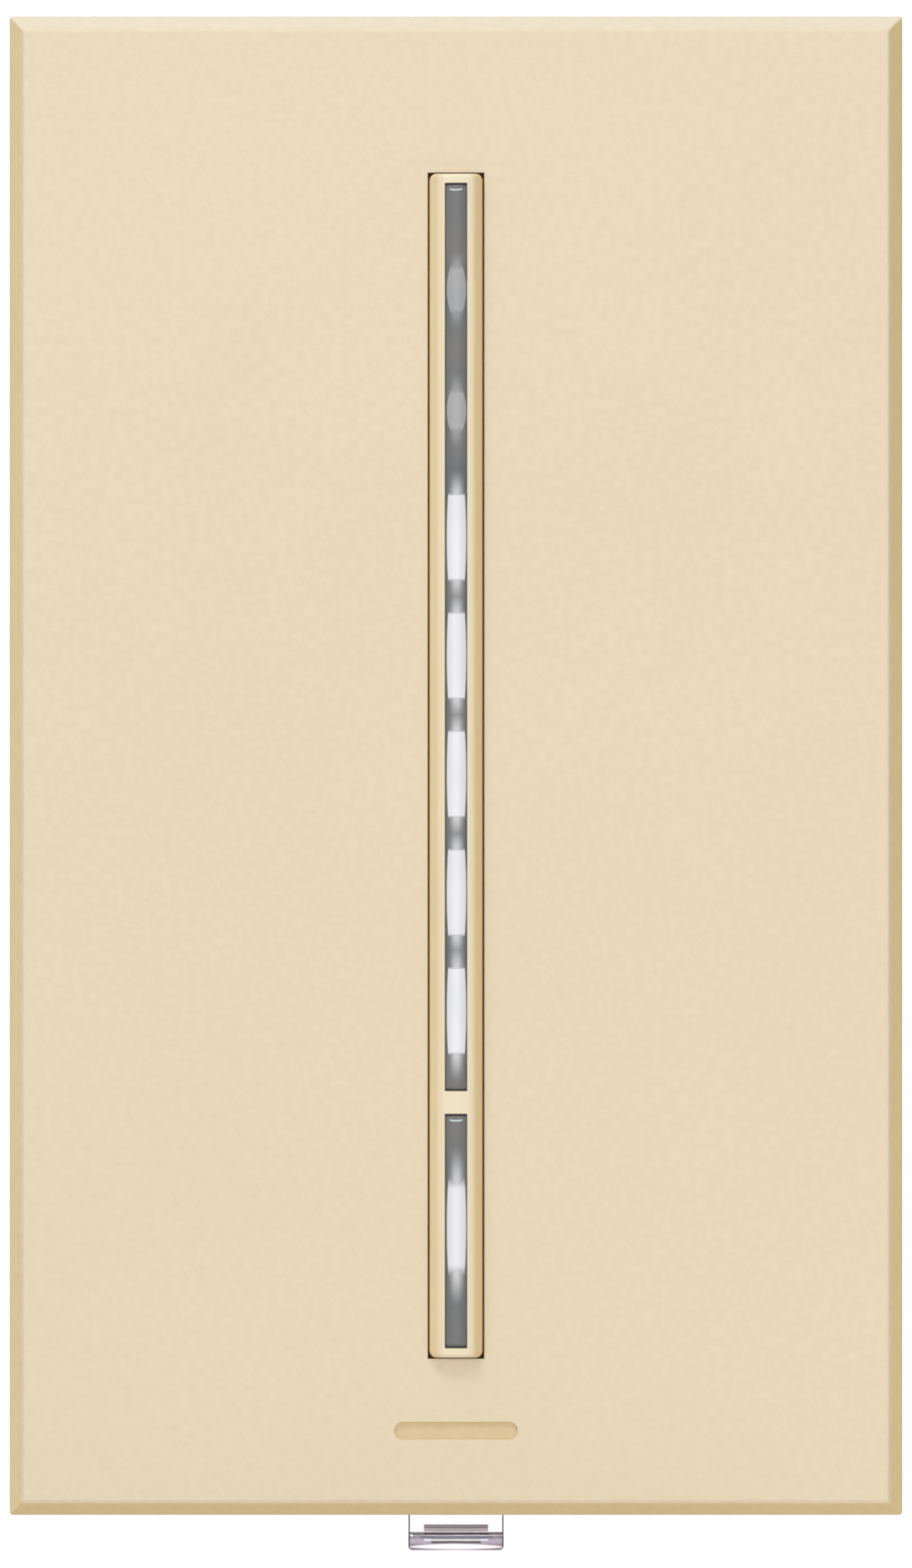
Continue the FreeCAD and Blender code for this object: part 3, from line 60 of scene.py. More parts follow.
def add_piece(name, rings, body, caps=(False, False), smooth=40):
    """A mesh through a grid of points, shape (rings, points round a ring, 3), in millimetres.

    Neighbouring rings are joined by quads, the last point of a ring is joined to its first, and caps fills
    the first and last ring. Edges sharper than smooth stay sharp. The piece is carried by a body.
    """
    rows, cols = rings.shape[:2]
    index = np.arange(rows * cols).reshape(rows, cols)
    right = np.roll(index, -1, 1)
    faces = np.stack([index[:-1], right[:-1], right[1:], index[1:]], -1).reshape(-1, 4).tolist()
    if caps[0]:
        faces.append(index[0, ::-1].tolist())
    if caps[1]:
        faces.append(index[-1].tolist())
    mesh = bpy.data.meshes.new(name)
    mesh.from_pydata((rings.reshape(-1, 3) * MM).tolist(), [], faces)
    mesh.validate()
    mesh.shade_smooth()
    mesh.set_sharp_from_angle(angle=math.radians(smooth))
    piece = bpy.data.objects.new(name, mesh)
    bpy.context.scene.collection.objects.link(piece)
    if body:
        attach(piece, body)
    return piece


def span(start, end, count):
    return np.linspace(start, end, count)


def circle_xy(count):
    """Cosines and sines of evenly spaced angles round a circle."""
    angle = span(0, 2 * np.pi, count + 1)[:-1]
    return np.cos(angle), np.sin(angle)


def tube(name, path, radius, body, around=10):
    """A round wire along a path of points: at each point a circle square to the path, capped at both ends.

    The circle's first direction is the path's bend, taken square to its run, so that the rings never twist.
    """
    run = np.gradient(path, axis=0)
    run /= np.linalg.norm(run, axis=1, keepdims=True)
    side = np.cross(run, np.gradient(run, axis=0) + (0.0, 1e-6, 1e-6))
    side /= np.linalg.norm(side, axis=1, keepdims=True)
    across = np.cross(side, run)
    cosines, sines = circle_xy(around)
    rings = path[:, None] + radius * (across[:, None] * cosines[:, None] + side[:, None] * sines[:, None])
    return add_piece(name, rings, body, caps=(True, True), smooth=60)


def turned_rings(radii, depths, centre, around=48):
    """Rings of a turned shape whose axis is Y: one circle of each radius at each depth behind the wall."""
    cosines, sines = circle_xy(around)
    rings = np.stack([
        centre[0] + radii[:, None] * cosines,
        np.repeat(depths[:, None], around, 1),
        centre[1] - radii[:, None] * sines,
    ], -1)
    return rings


# ---------------------------------------------------------------- shader language


class Socket:
    """An output of a node. Arithmetic on it adds Math nodes."""

    def __init__(self, tree, output):
        self.tree = tree
        self.output = output

    def _math(self, operation, *others):
        return self.tree.add("ShaderNodeMath", {"operation": operation}, dict(enumerate((self, *others))))

    def __add__(self, other):
        return self._math("ADD", other)

    def __sub__(self, other):
        return self._math("SUBTRACT", other)

    def __mul__(self, other):
        return self._math("MULTIPLY", other)

    def __truediv__(self, other):
        return self._math("DIVIDE", other)

    def __pow__(self, other):
        return self._math("POWER", other)

    def __mod__(self, other):
        return self._math("FLOORED_MODULO", other)

    def __neg__(self):
        return self * -1

    def __rsub__(self, other):
        return (-self) + other

    __radd__ = __add__
    __rmul__ = __mul__

    def absolute(self):
        return self._math("ABSOLUTE")

    def highest(self, other):
        return self._math("MAXIMUM", other)

    def above(self, other):
        return self._math("GREATER_THAN", other)

    def root(self):
        return self._math("SQRT")

    def smooth(self, low, high):
        """0 below low, 1 above high, and a smooth curve between."""
        inputs = {"Value": self, "From Min": low, "From Max": high}
        return self.tree.add("ShaderNodeMapRange", {"interpolation_type": "SMOOTHSTEP"}, inputs)


class Tree:
    """Node tree of one material or of the world."""

    def __init__(self, owner):
        owner.use_nodes = True
        self.nodes = owner.node_tree.nodes
        self.links = owner.node_tree.links
        self.nodes.clear()
        self.coords = None

    def add(self, kind, settings=None, inputs=None, output=0):
        """Any node: its settings, then the values or links of its inputs. Returns one of its outputs."""
        node = self.nodes.new(kind)
        for key, setting in (settings or {}).items():
            setattr(node, key, setting)
        for key, given in (inputs or {}).items():
            if isinstance(given, Socket):
                self.links.new(given.output, node.inputs[key])
            else:
                node.inputs[key].default_value = given
        return Socket(self, node.outputs[output]) if node.outputs else None

    def place(self):
        """Object coordinates in millimetres."""
        if self.coords is None:
            raw = self.add("ShaderNodeTexCoord", output="Object")
            self.coords = self.add("ShaderNodeVectorMath", {"operation": "SCALE"}, {0: raw, "Scale": 1 / MM})
        return self.coords

    def axes(self, vector=None):
        """The three parts of a vector, which is the object coordinates if none is given."""
        split = self.nodes.new("ShaderNodeSeparateXYZ")
        self.links.new((vector or self.place()).output, split.inputs[0])
        return [Socket(self, split.outputs[i]) for i in range(3)]

    def stretched(self, scale):
        """Object coordinates in millimetres, scaled by different amounts along each axis."""
        return self.add("ShaderNodeVectorMath", {"operation": "MULTIPLY"}, {0: self.place(), 1: scale})

    def noise(self, size, detail=2.0, rough=0.5, vector=None):
        """Noise of 0 to 1, whose grains are about size millimetres."""
        inputs = {"Vector": vector or self.place(), "Scale": 1 / size, "Detail": detail, "Roughness": rough}
        return self.add("ShaderNodeTexNoise", None, inputs, output="Fac")

    def cells(self, size):
        """Distance from the middles of rounded cells about size millimetres across."""
        inputs = {"Vector": self.place(), "Scale": 1 / size}
        return self.add("ShaderNodeTexVoronoi", {"feature": "SMOOTH_F1"}, inputs)

    def blend(self, factor, first, second, how="MIX"):
        """A color between two colors."""
        node = self.nodes.new("ShaderNodeMix")
        node.data_type = "RGBA"
        node.blend_type = how
        node.clamp_factor = True
        for socket, given in ((node.inputs[0], factor), (node.inputs[6], first), (node.inputs[7], second)):
            if isinstance(given, Socket):
                self.links.new(given.output, socket)
            else:
                socket.default_value = (*given, 1.0) if isinstance(given, tuple) else given
        return Socket(self, node.outputs[2])

    def bump(self, height, depth, strength):
        """A normal from a height of 0 to 1 that stands for depth millimetres."""
        inputs = {"Height": height, "Distance": depth * MM, "Strength": strength}
        return self.add("ShaderNodeBump", None, inputs)


def tone(red, green, blue):
    """A color given in display values of 0 to 255, as the linear values the shader takes."""
    values = np.array([red, green, blue]) / 255
    linear = np.where(values <= 0.04045, values / 12.92, ((values + 0.055) / 1.055) ** 2.4)
    return tuple(linear.tolist())


def finish(name, build, **constants):
    """A material: build gets its tree and returns what varies, and constants go straight onto the shader."""
    material = bpy.data.materials.new(name)
    tree = Tree(material)
    varying = {k.replace("_", " "): v for k, v in build(tree).items()}
    inputs = {k.replace("_", " "): v for k, v in constants.items()}
    for key, given in {**inputs, **varying}.items():
        if isinstance(given, tuple) and len(given) == 3 and "Color" in key:
            varying[key] = (*given, 1.0)
    shader = tree.add("ShaderNodeBsdfPrincipled", None, {**inputs, **varying})
    tree.add("ShaderNodeOutputMaterial", None, {"Surface": shader})
    return material


# ---------------------------------------------------------------- materials

PLATE_FRONT = -9.0
ALMOND = tone(232, 217, 188)
ALMOND_DEEP = tone(228, 211, 180)


def grained_plate(tree):
    """Moulded almond plastic with a fine leathery spark texture.

    The bevel and the side walls carry painted shade, deeper in tone than the face, the right more than the
    left and the bottom most; along the top they carry painted light, paler and bluer. The slot's walls carry
    painted shade in brown.
    """
    x, y, z = tree.axes()
    grain = tree.noise(0.75, 3.0, 0.6)
    pits = tree.cells(0.8)
    cloud = tree.noise(16.0, 2.0)
    height = grain * 0.7 + pits * 0.3
    color = tree.blend(cloud.smooth(0.3, 0.7) * 0.2 + grain.smooth(0.35, 0.65) * 0.5, ALMOND_DEEP, ALMOND)
    below = y.smooth(PLATE_FRONT + 0.05, PLATE_FRONT + 0.35)
    reach = x.absolute()
    # Painted shade on the left, right and bottom of the bevel and walls, deepest at the bottom; painted light
    # on the top.
    sides = tree.blend(x.above(0.0), (1.0, 0.97, 0.77), (1.0, 0.92, 0.68))
    sides = tree.blend((-z - reach).above(25.5), sides, (0.89, 0.8, 0.6))
    edges = tree.blend((z - reach).above(25.5), sides, (1.0, 1.045, 1.1))
    color = tree.blend(below, color, edges, "MULTIPLY")
    # Painted shade: the slot's walls are darkened brown where the gap is in shadow.
    slot = (1 - x.absolute().smooth(2.45, 2.6)) * (1 - z.absolute().smooth(49.95, 50.1)) * below
    color = tree.blend(slot, color, (0.52, 0.29, 0.1), "MULTIPLY")
    return {"Base_Color": color, "Roughness": grain * 0.12 + 0.5, "Normal": tree.bump(height, 0.085, 0.8)}


def satin_bezel(tree):
    """Almond plastic from a polished mould, with faint flow lines along the bar.

    The slopes beside the crest carry painted shade, most on the right, the window's rim a painted highlight,
    and the walls below the shoulder painted shade in brown.
    """
    x, y, _ = tree.axes()
    flow = tree.noise(0.5, 2.0, 0.5, tree.stretched((1.0, 1.0, 0.06)))
    fine = tree.noise(0.12, 2.0)
    color = tree.blend(flow.smooth(0.3, 0.7) * 0.4, tone(229, 212, 179), tone(233, 217, 186))
    # Painted shade on the slopes beside the crest, more on the right.
    slope_shade = x.absolute().smooth(1.3, 1.75)
    color = tree.blend(slope_shade, color, (0.96, 0.91, 0.76), "MULTIPLY")
    color = tree.blend(x.smooth(1.3, 1.8), color, (0.93, 0.91, 0.82), "MULTIPLY")
    # Painted highlight: a pale band along the window's rim.
    rim = (1 - x.absolute().smooth(0.98, 1.2)) * 0.5
    color = tree.blend(rim, color, tone(243, 231, 200))
    # Painted shade: the walls below the shoulder are darkened brown.
    color = tree.blend(y.smooth(-9.42, -9.36), color, (0.5, 0.27, 0.08), "MULTIPLY")
    roughness = flow * 0.06 + fine * 0.04 + 0.34
    return {"Base_Color": color, "Roughness": roughness, "Normal": tree.bump(fine, 0.002, 0.5)}


# Glows of the light bar: height above the centre, half height of the bright block, softness of its ends, half
# height of its fading tail, how far its sides bow out, all in millimetres, and brightness.
GLOWS = [
    (40.0, 2.0, 0.9, 3.4, 0.34, 0.24), (29.85, 1.75, 0.9, 3.4, 0.34, 0.25), (19.2, 3.6, 0.35, 5.8, 0.12, 0.7),
    (9.25, 3.6, 0.35, 5.8, 0.12, 0.7), (-0.7, 3.6, 0.35, 5.8, 0.12, 0.7), (-10.65, 3.6, 0.35, 5.8, 0.12, 0.7),
    (-20.6, 3.6, 0.35, 6.2, 0.12, 0.7), (-38.75, 3.75, 1.4, 7.0, 0.12, 0.68),
]
BAR_TOPS = (48.81, -29.42)


def lit_bar(tree):
    """Smoke-grey translucent plastic that glows over each lamp.

    A glow is a soft-ended block whose sides bow out, paler along its middle, with a narrow fading tail above
    and below it. A thin pale arc, a painted highlight, crosses each bar near its top, where the moulded end
    curls over.
    """
    x, y, z = tree.axes()
    total = None
    for height, block_half, soft, tail_half, bow, power in GLOWS:
        away = (z - height).absolute()
        half = 0.85 - (away / block_half) ** 2.0 * bow
        side = 1 - ((x - 0.04).absolute() / half).smooth(0.88, 1.03)
        block = 1 - away.smooth(block_half - soft / 2, block_half + soft / 2)
        narrow = 1 - (x - 0.06).absolute().smooth(0.05, 0.8)
        tail = (1 - away.smooth(block_half - 0.3, tail_half)) * narrow * 0.68
        glow = (block * side).highest(tail) * power
        total = glow if total is None else total.highest(glow)
    front = y.smooth(-8.6, -9.2)
    cloud = tree.noise(2.6, 2.0, 0.5, tree.stretched((0.6, 1.0, 0.5)))
    color = tree.blend(cloud.smooth(0.3, 0.7), tone(106, 109, 110), tone(120, 118, 116))
    # Painted highlight: a thin pale arc near each bar's top, standing for the glint on its rounded end.
    arc = None
    for top in BAR_TOPS:
        highlight_line = 1 - (z - (x + 0.02) * (x + 0.02) * 0.22 - top + 0.42).absolute().smooth(0.02, 0.11)
        arc = highlight_line if arc is None else arc.highest(highlight_line)
    arc = arc * (1 - x.absolute().smooth(0.45, 0.6)) * front
    color = tree.blend(arc, color, tone(200, 210, 212))
    core = (1 - x.absolute().smooth(0.05, 0.8)) * 0.16 + 0.82
    return {
        "Base_Color": color,
        "Roughness": cloud * 0.06 + 0.2,
        "Emission_Color": tree.blend(total * front * core, (0.0, 0.0, 0.0), tone(252, 251, 255)),
    }


def dark_nylon(tree):
    """Matte black nylon with a fine grain."""
    grain = tree.noise(0.25, 3.0)
    color = tree.blend(grain, tone(28, 28, 29), tone(40, 40, 41))
    return {"Base_Color": color, "Roughness": grain * 0.2 + 0.5, "Normal": tree.bump(grain, 0.01, 0.5)}


def case_plastic(tree):
    """Matte black case with spark texture and slightly polished patches."""
    spark = tree.cells(0.38)
    cloud = tree.noise(9.0, 2.0)
    color = tree.blend(cloud, tone(30, 30, 32), tone(44, 44, 46))
    return {"Base_Color": color, "Roughness": cloud * 0.16 + 0.46, "Normal": tree.bump(spark, 0.02, 0.7)}


def brushed(color_low, color_high, along, rough=0.3, depth=0.004):
    """Metal brushed along an axis: streaks of tone, roughness and height that are long on that axis."""
    scale = tuple(0.05 if axis == along else 1.0 for axis in "xyz")

    def build(tree):
        streak = tree.noise(0.16, 4.0, 0.6, tree.stretched(scale))
        stain = tree.noise(7.0, 3.0)
        color = tree.blend(streak.smooth(0.3, 0.7) * 0.7 + stain * 0.3, color_low, color_high)
        roughness = streak * 0.16 + stain * 0.08 + rough - 0.1
        return {"Base_Color": color, "Roughness": roughness, "Normal": tree.bump(streak, depth, 0.6)}

    return build


def turned(color_low, color_high, size=1.4, rough=0.3):
    """Plated hardware: patchy tone and fine scratches."""

    def build(tree):
        patch = tree.noise(size, 3.0)
        scratch = tree.noise(0.08, 4.0, 0.7, tree.stretched((1.0, 0.15, 1.0)))
        color = tree.blend(patch, color_low, color_high)
        roughness = patch * 0.14 + scratch * 0.1 + rough - 0.1
        return {"Base_Color": color, "Roughness": roughness, "Normal": tree.bump(scratch, 0.003, 0.5)}

    return build


def speckled(color_low, color_high, size, rough, depth=0.01):
    """Plain moulded or coated piece: two close tones in small grains."""

    def build(tree):
        grain = tree.noise(size, 3.0)
        color = tree.blend(grain, color_low, color_high)
        roughness = grain * 0.15 + rough
        return {"Base_Color": color, "Roughness": roughness, "Normal": tree.bump(grain, depth, 0.5)}

    return build


def circuit(tree):
    """Green solder mask over a net of copper tracks, with bare pads."""
    x, _, z = tree.axes()
    bend = tree.noise(5.0, 1.0) * 2.4
    track = 1 - (((x + bend) % 1.9) - 0.95).absolute().smooth(0.22, 0.3)
    bar = 1 - (((z + bend) % 3.7) - 1.85).absolute().smooth(0.25, 0.34)
    copper = track.highest(bar)
    pad = 1 - (((x % 2.54) - 1.27) ** 2.0 + ((z % 2.54) - 1.27) ** 2.0).smooth(0.14, 0.22)
    pick = tree.noise(4.5, 0.0).above(0.56)
    pads = pad * pick
    mask = tree.blend(copper, tone(16, 74, 42), tone(30, 104, 60))
    color = tree.blend(pads, mask, tone(196, 196, 190))
    return {
        "Base_Color": color,
        "Metallic": pads * 0.8,
        "Roughness": 0.42 - pads * 0.12,
        "Normal": tree.bump(copper * 0.6 + pads, 0.03, 0.8),
    }


def clear_plastic(tree):
    """Clear polycarbonate with faint flow marks."""
    flow = tree.noise(1.6, 2.0)
    color = tree.blend(flow, tone(250, 243, 244), tone(254, 250, 251))
    return {"Base_Color": color, "Roughness": flow * 0.04 + 0.03}


# Painted bands of shade and highlight across the pull tab: from, to (heights in millimetres), half width, and
# tone.
TAB_PAINTED_BANDS = (
    (-64.72, -64.55, 2.75, (84, 60, 72)), (-64.72, -64.56, 4.0, (34, 20, 28)),
    (-65.46, -64.76, 4.0, (164, 152, 170)), (-65.02, -64.8, 3.1, (84, 90, 116)),
    (-65.22, -65.06, 2.75, (255, 254, 255)), (-65.46, -65.26, 2.15, (74, 58, 58)),
)
BAND_SOFT = 0.035


def pull_look(tree):
    """Clear polycarbonate of the pull tab, a little rosy.

    The edges that are seen through their full depth are painted dark lines of shade, and the thick lip shows
    as painted grey and mauve bands of shade with painted highlights between.
    """
    x, _, z = tree.axes()
    flow = tree.noise(0.8, 2.0, 0.5, tree.stretched((0.4, 1.0, 1.4)))
    drift = (flow - 0.5) * 0.06
    color = tree.blend(flow, tone(247, 238, 243), tone(254, 249, 251))
    # Painted shade and highlights: each band darkens or brightens the tab where light is bent in it.
    for low, high, half, shade in TAB_PAINTED_BANDS:
        above = (z + drift).smooth(low - BAND_SOFT, low + BAND_SOFT)
        inside = above * (1 - (z + drift).smooth(high - BAND_SOFT, high + BAND_SOFT))
        inside = inside * (1 - x.absolute().smooth(half - 0.12, half))
        color = tree.blend(inside * 0.92, color, tone(*shade))
    # Painted highlight: a bright crescent on the lip; painted shade on the lip's lower sides and along its
    # foot.
    smile = z - x * x * 0.012 + drift
    bright = smile.smooth(-66.0, -65.94) * (1 - (z + x * x * 0.016 + drift).smooth(-65.5, -65.44))
    low_sides_shade = (1 - z.smooth(-65.48, -65.42)) * (1 - bright)
    color = tree.blend(low_sides_shade * 0.9, color, tone(120, 106, 122))
    color = tree.blend((1 - z.smooth(-65.99, -65.93)) * 0.7, color, tone(120, 90, 104))
    # Painted shade: dark lines down the tab's sides.
    edge = x.absolute().smooth(3.84, 3.93) * (1 - z.smooth(-62.0, -61.5))
    color = tree.blend(edge, color, tone(58, 40, 50))
    return {"Base_Color": color, "Roughness": flow * 0.05 + 0.04}


def fibres(color_low, color_high):
    """Pressed fibre sheet or paper."""

    def build(tree):
        weave = tree.noise(0.3, 4.0, 0.7, tree.stretched((1.0, 1.0, 0.3)))
        color = tree.blend(weave, color_low, color_high)
        return {"Base_Color": color, "Roughness": weave * 0.1 + 0.7, "Normal": tree.bump(weave, 0.02, 0.5)}

    return build


# Rings of a resistor: from, to (heights in millimetres), and tone.
RESISTOR_RINGS = (
    (22.4, 23.0, (96, 58, 30)), (23.8, 24.4, (24, 22, 22)),
    (25.2, 25.8, (190, 60, 34)), (27.0, 27.6, (196, 158, 70)),
)


def banded_resistor(tree):
    """Tan lacquer with four colored rings and bright wire."""
    _, y, z = tree.axes()
    color = tone(206, 176, 126)
    for low, high, ring in RESISTOR_RINGS:
        inside = z.smooth(low - 0.05, low) * (1 - z.smooth(high, high + 0.05))
        color = tree.blend(inside, color, tone(*ring))
    body = z.smooth(21.55, 21.65) * (1 - z.smooth(28.55, 28.65)) * y.smooth(8.1, 8.2)
    grain = tree.noise(0.4, 2.0)
    color = tree.blend(body, tone(190, 188, 184), color)
    return {"Base_Color": color, "Metallic": 1 - body, "Roughness": grain * 0.1 + 0.28}


def fuse_look(tree):
    """Glass tube with a hair wire between two plated caps."""
    x, _, z = tree.axes()
    cap = x.absolute().smooth(3.8, 3.9)
    wire = 1 - (z + 25.4).absolute().smooth(0.1, 0.2)
    grain = tree.noise(0.5, 2.0)
    glass = tree.blend(wire, tone(214, 220, 218), tone(120, 120, 118))
    color = tree.blend(cap, glass, tone(196, 194, 188))
    return {"Base_Color": color, "Metallic": cap, "Roughness": grain * 0.1 + 0.12}


def can_look(tree):
    """Sleeved aluminium can: dark sleeve with a pale stripe, bare metal on the end."""
    x, y, z = tree.axes()
    top = y.smooth(23.6, 23.75)
    stripe = (x + 3.2).smooth(3.6, 3.9)
    grain = tree.noise(0.5, 2.0)
    sleeve = tree.blend(stripe, tone(30, 34, 52), tone(150, 154, 166))
    cross = (1 - (x + 3.2).absolute().smooth(0.1, 0.2)).highest(1 - (z + 13.4).absolute().smooth(0.1, 0.2))
    return {
        "Base_Color": tree.blend(top, sleeve, tone(200, 200, 202)),
        "Metallic": top,
        "Roughness": grain * 0.12 + 0.3,
        "Normal": tree.bump(1 - cross * top, 0.2, 0.8),
    }


def wound_wire(tree):
    """Enamelled copper in streaky tones."""
    streak = tree.noise(0.6, 3.0)
    color = tree.blend(streak, tone(150, 66, 28), tone(196, 96, 44))
    return {"Base_Color": color, "Roughness": streak * 0.12 + 0.2}


steel = (tone(176, 176, 172), tone(206, 206, 202))
brass = (tone(176, 136, 70), tone(214, 180, 106))
copper = (tone(178, 104, 62), tone(214, 140, 92))

FINISHES = {
    "cover_plate": finish("almond_grained", grained_plate, Specular_IOR_Level=0.35),
    "bezel": finish("almond_satin", satin_bezel, Specular_IOR_Level=0.5, Coat_Weight=0.1, Coat_Roughness=0.2),
    "dimming_bar": finish(
        "smoke_lens", lit_bar, Emission_Strength=1.0, IOR=1.49, Coat_Weight=0.3, Coat_Roughness=0.08
    ),
    "adapter_plate": finish("black_nylon", dark_nylon),
    "back_cover": finish("black_case", case_plastic),
    "yoke": finish("yoke_aluminium", brushed(tone(170, 171, 174), tone(208, 209, 212), "z"), Metallic=1.0),
    "box_screws": finish("screw_zinc", turned(*steel), Metallic=1.0),
    "ground_screw": finish(
        "ground_green", speckled(tone(22, 96, 46), tone(38, 128, 66), 0.6, 0.3), Metallic=0.4
    ),
    "airgap_slider": finish("clear_polycarbonate", pull_look, IOR=1.58, Transmission_Weight=0.94),
    "light_pipes": finish("clear_guide", clear_plastic, IOR=1.49, Transmission_Weight=0.9),
    "dimming_elastomer": finish("black_elastomer", speckled(tone(26, 26, 26), tone(36, 36, 37), 0.3, 0.7)),
    "touch_strip": finish("amber_film", brushed(tone(170, 110, 34), tone(196, 134, 52), "z", 0.3), IOR=1.5),
    "lamps": finish("lamp_resin", speckled(tone(226, 226, 214), tone(240, 240, 232), 0.4, 0.3)),
    "display_board": finish("circuit_board", circuit, Coat_Weight=0.4, Coat_Roughness=0.15),
    "display_header": finish("connector_resin", speckled(tone(24, 24, 25), tone(34, 34, 36), 0.3, 0.45)),
    "airgap_leaf": finish("spring_copper", brushed(*copper, "x", 0.28), Metallic=1.0),
    "moving_contact": finish(
        "contact_silver", turned(tone(206, 206, 204), tone(230, 230, 228), 0.5, 0.25), Metallic=1.0
    ),
    "rating_label": finish("blank_label", fibres(tone(228, 228, 224), tone(238, 238, 235))),
    "terminal_screws": finish("terminal_brass", turned(*brass), Metallic=1.0),
    "insulator_sheet": finish("fish_paper", fibres(tone(196, 188, 152), tone(212, 204, 170))),
    "triac": finish("moulding_resin", speckled(tone(22, 22, 23), tone(34, 34, 35), 0.4, 0.5)),
    "triac_pad": finish("silicone_pad", speckled(tone(150, 150, 154), tone(166, 166, 170), 0.5, 0.6)),
    "triac_rivet": finish(
        "rivet_aluminium", turned(tone(186, 186, 188), tone(214, 214, 216), 1.0), Metallic=1.0
    ),
    "choke_core": finish("core_coating", speckled(tone(190, 172, 60), tone(208, 190, 78), 0.7, 0.45, 0.03)),
    "choke_winding": finish("magnet_wire", wound_wire, Metallic=0.75, Coat_Weight=0.6, Coat_Roughness=0.1),
    "film_capacitor": finish("blue_box", speckled(tone(28, 66, 140), tone(36, 78, 158), 0.8, 0.28)),
    "electrolytic_capacitor": finish("sleeved_can", can_look),
    "varistor": finish("blue_epoxy", speckled(tone(26, 70, 150), tone(34, 82, 168), 1.2, 0.2, 0.05)),
    "fuse": finish("glass_fuse", fuse_look),
    "resistors": finish("banded_lacquer", banded_resistor),
}
SAME = {
    "switch_bar": "dimming_bar", "switch_elastomer": "dimming_elastomer", "power_board": "display_board",
    "header_socket": "display_header", "adapter_screws": "box_screws", "bezel_screws": "box_screws",
    "case_screws": "box_screws", "pressure_plates": "box_screws", "terminal_nuts": "terminal_screws",
    "leaf_anchor": "airgap_leaf", "fixed_contact": "airgap_leaf", "controller": "triac",
}
for name, node in nodes.items():
    for slot in node.material_slots:
        slot.material = FINISHES[SAME.get(name, name)]


# ---------------------------------------------------------------- box screws

SCREW_PITCH = 0.794
SCREW_OUTER, SCREW_ROOT = 1.74, 1.36
SCREW_START, SCREW_END = 0.02, 21.95
SCREW_HEIGHT = 41.67


def screw_thread(z):
    """Rolled thread of a box screw: a rod whose radius follows a helix.

    Radius = root + height * ridge, where ridge is a flat-topped saw of (depth / pitch - angle / turn). The
    ridge grows from nothing under the yoke, and the last 1.1 mm is a cone.
    """
    depth = span(SCREW_START, SCREW_END, 248)[:, None]
    angle = span(0, 2 * np.pi, 25)[:-1]
    phase = (depth / SCREW_PITCH - angle / (2 * np.pi)) % 1.0
    ridge = np.clip(1.25 - 2.6 * np.abs(phase - 0.5) * 1.15, 0.0, 1.0)
    begin = np.clip((depth - SCREW_START) / 0.8, 0, 1)
    tip = np.clip((SCREW_END - depth) / 1.1, 0.0, 1.0)
    radius = (SCREW_ROOT + (SCREW_OUTER - SCREW_ROOT) * ridge * begin) * (0.62 + 0.38 * tip)
    return np.stack([radius * np.cos(angle), depth + 0 * angle, z - radius * np.sin(angle)], -1)


def slotted_head(z, width, top, under, slot_half, slot_floor, body, name):
    """Domed head with a straight slot, cut into slices across the slot.

    A slice at height h across the head is half a circle wide: sqrt(R^2 - h^2). Its front follows the dome
    top + rise * (1 - (distance / R)^2), dropped to the slot's floor between the slot's walls.
    """
    steps = np.concatenate([
        -width * np.cos(span(0, np.pi / 2, 14))[:-2],
        [-slot_half - 0.01, -slot_half, slot_half, slot_half + 0.01],
        width * np.cos(span(np.pi / 2, 0, 14))[2:],
    ])
    steps = np.unique(np.round(np.clip(steps, -width * 0.9995, width * 0.9995), 4))
    reach = np.sqrt(width ** 2 - steps ** 2)
    share = np.sin(span(-np.pi / 2, np.pi / 2, 25))
    x = reach[:, None] * share
    height = steps[:, None] + 0 * x
    dome = top - 0.55 * (1 - (x ** 2 + height ** 2) / width ** 2)
    front = np.where(np.abs(height) <= slot_half + 0.001, slot_floor, dome)
    upper = np.stack([x, front, z + height], -1)
    lower = np.stack([x[:, ::-1], np.full_like(x, under), z + height], -1)
    rings = np.concatenate([upper, lower], 1)
    return add_piece(name, rings, body, caps=(True, True), smooth=35)


for row, z in (("low", -SCREW_HEIGHT), ("high", SCREW_HEIGHT)):
    neck = turned_rings(np.full(2, 1.44), np.array([-2.2, 0.01]), (0.0, z), 24)
    rod = np.concatenate([neck, screw_thread(z)])
    screw = add_piece(f"box_screw_{row}", rod, "housing", caps=(True, True), smooth=50)
    head = slotted_head(z, 3.3, -2.65, -1.62, 0.45, -2.5, "housing", f"box_screw_head_{row}")
    for piece in (screw, head):
        piece.data.materials.append(FINISHES["box_screws"])
        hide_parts("box_screws")


# ---------------------------------------------------------------- choke winding

CHOKE_X, CHOKE_Z, CHOKE_DEPTH = 6.5, 17.5, 13.2
RING_RADIUS = 7.65
SECTION_ACROSS, SECTION_ALONG = 3.27, 4.32
BOARD_FACE = 7.4
TURNS = 26


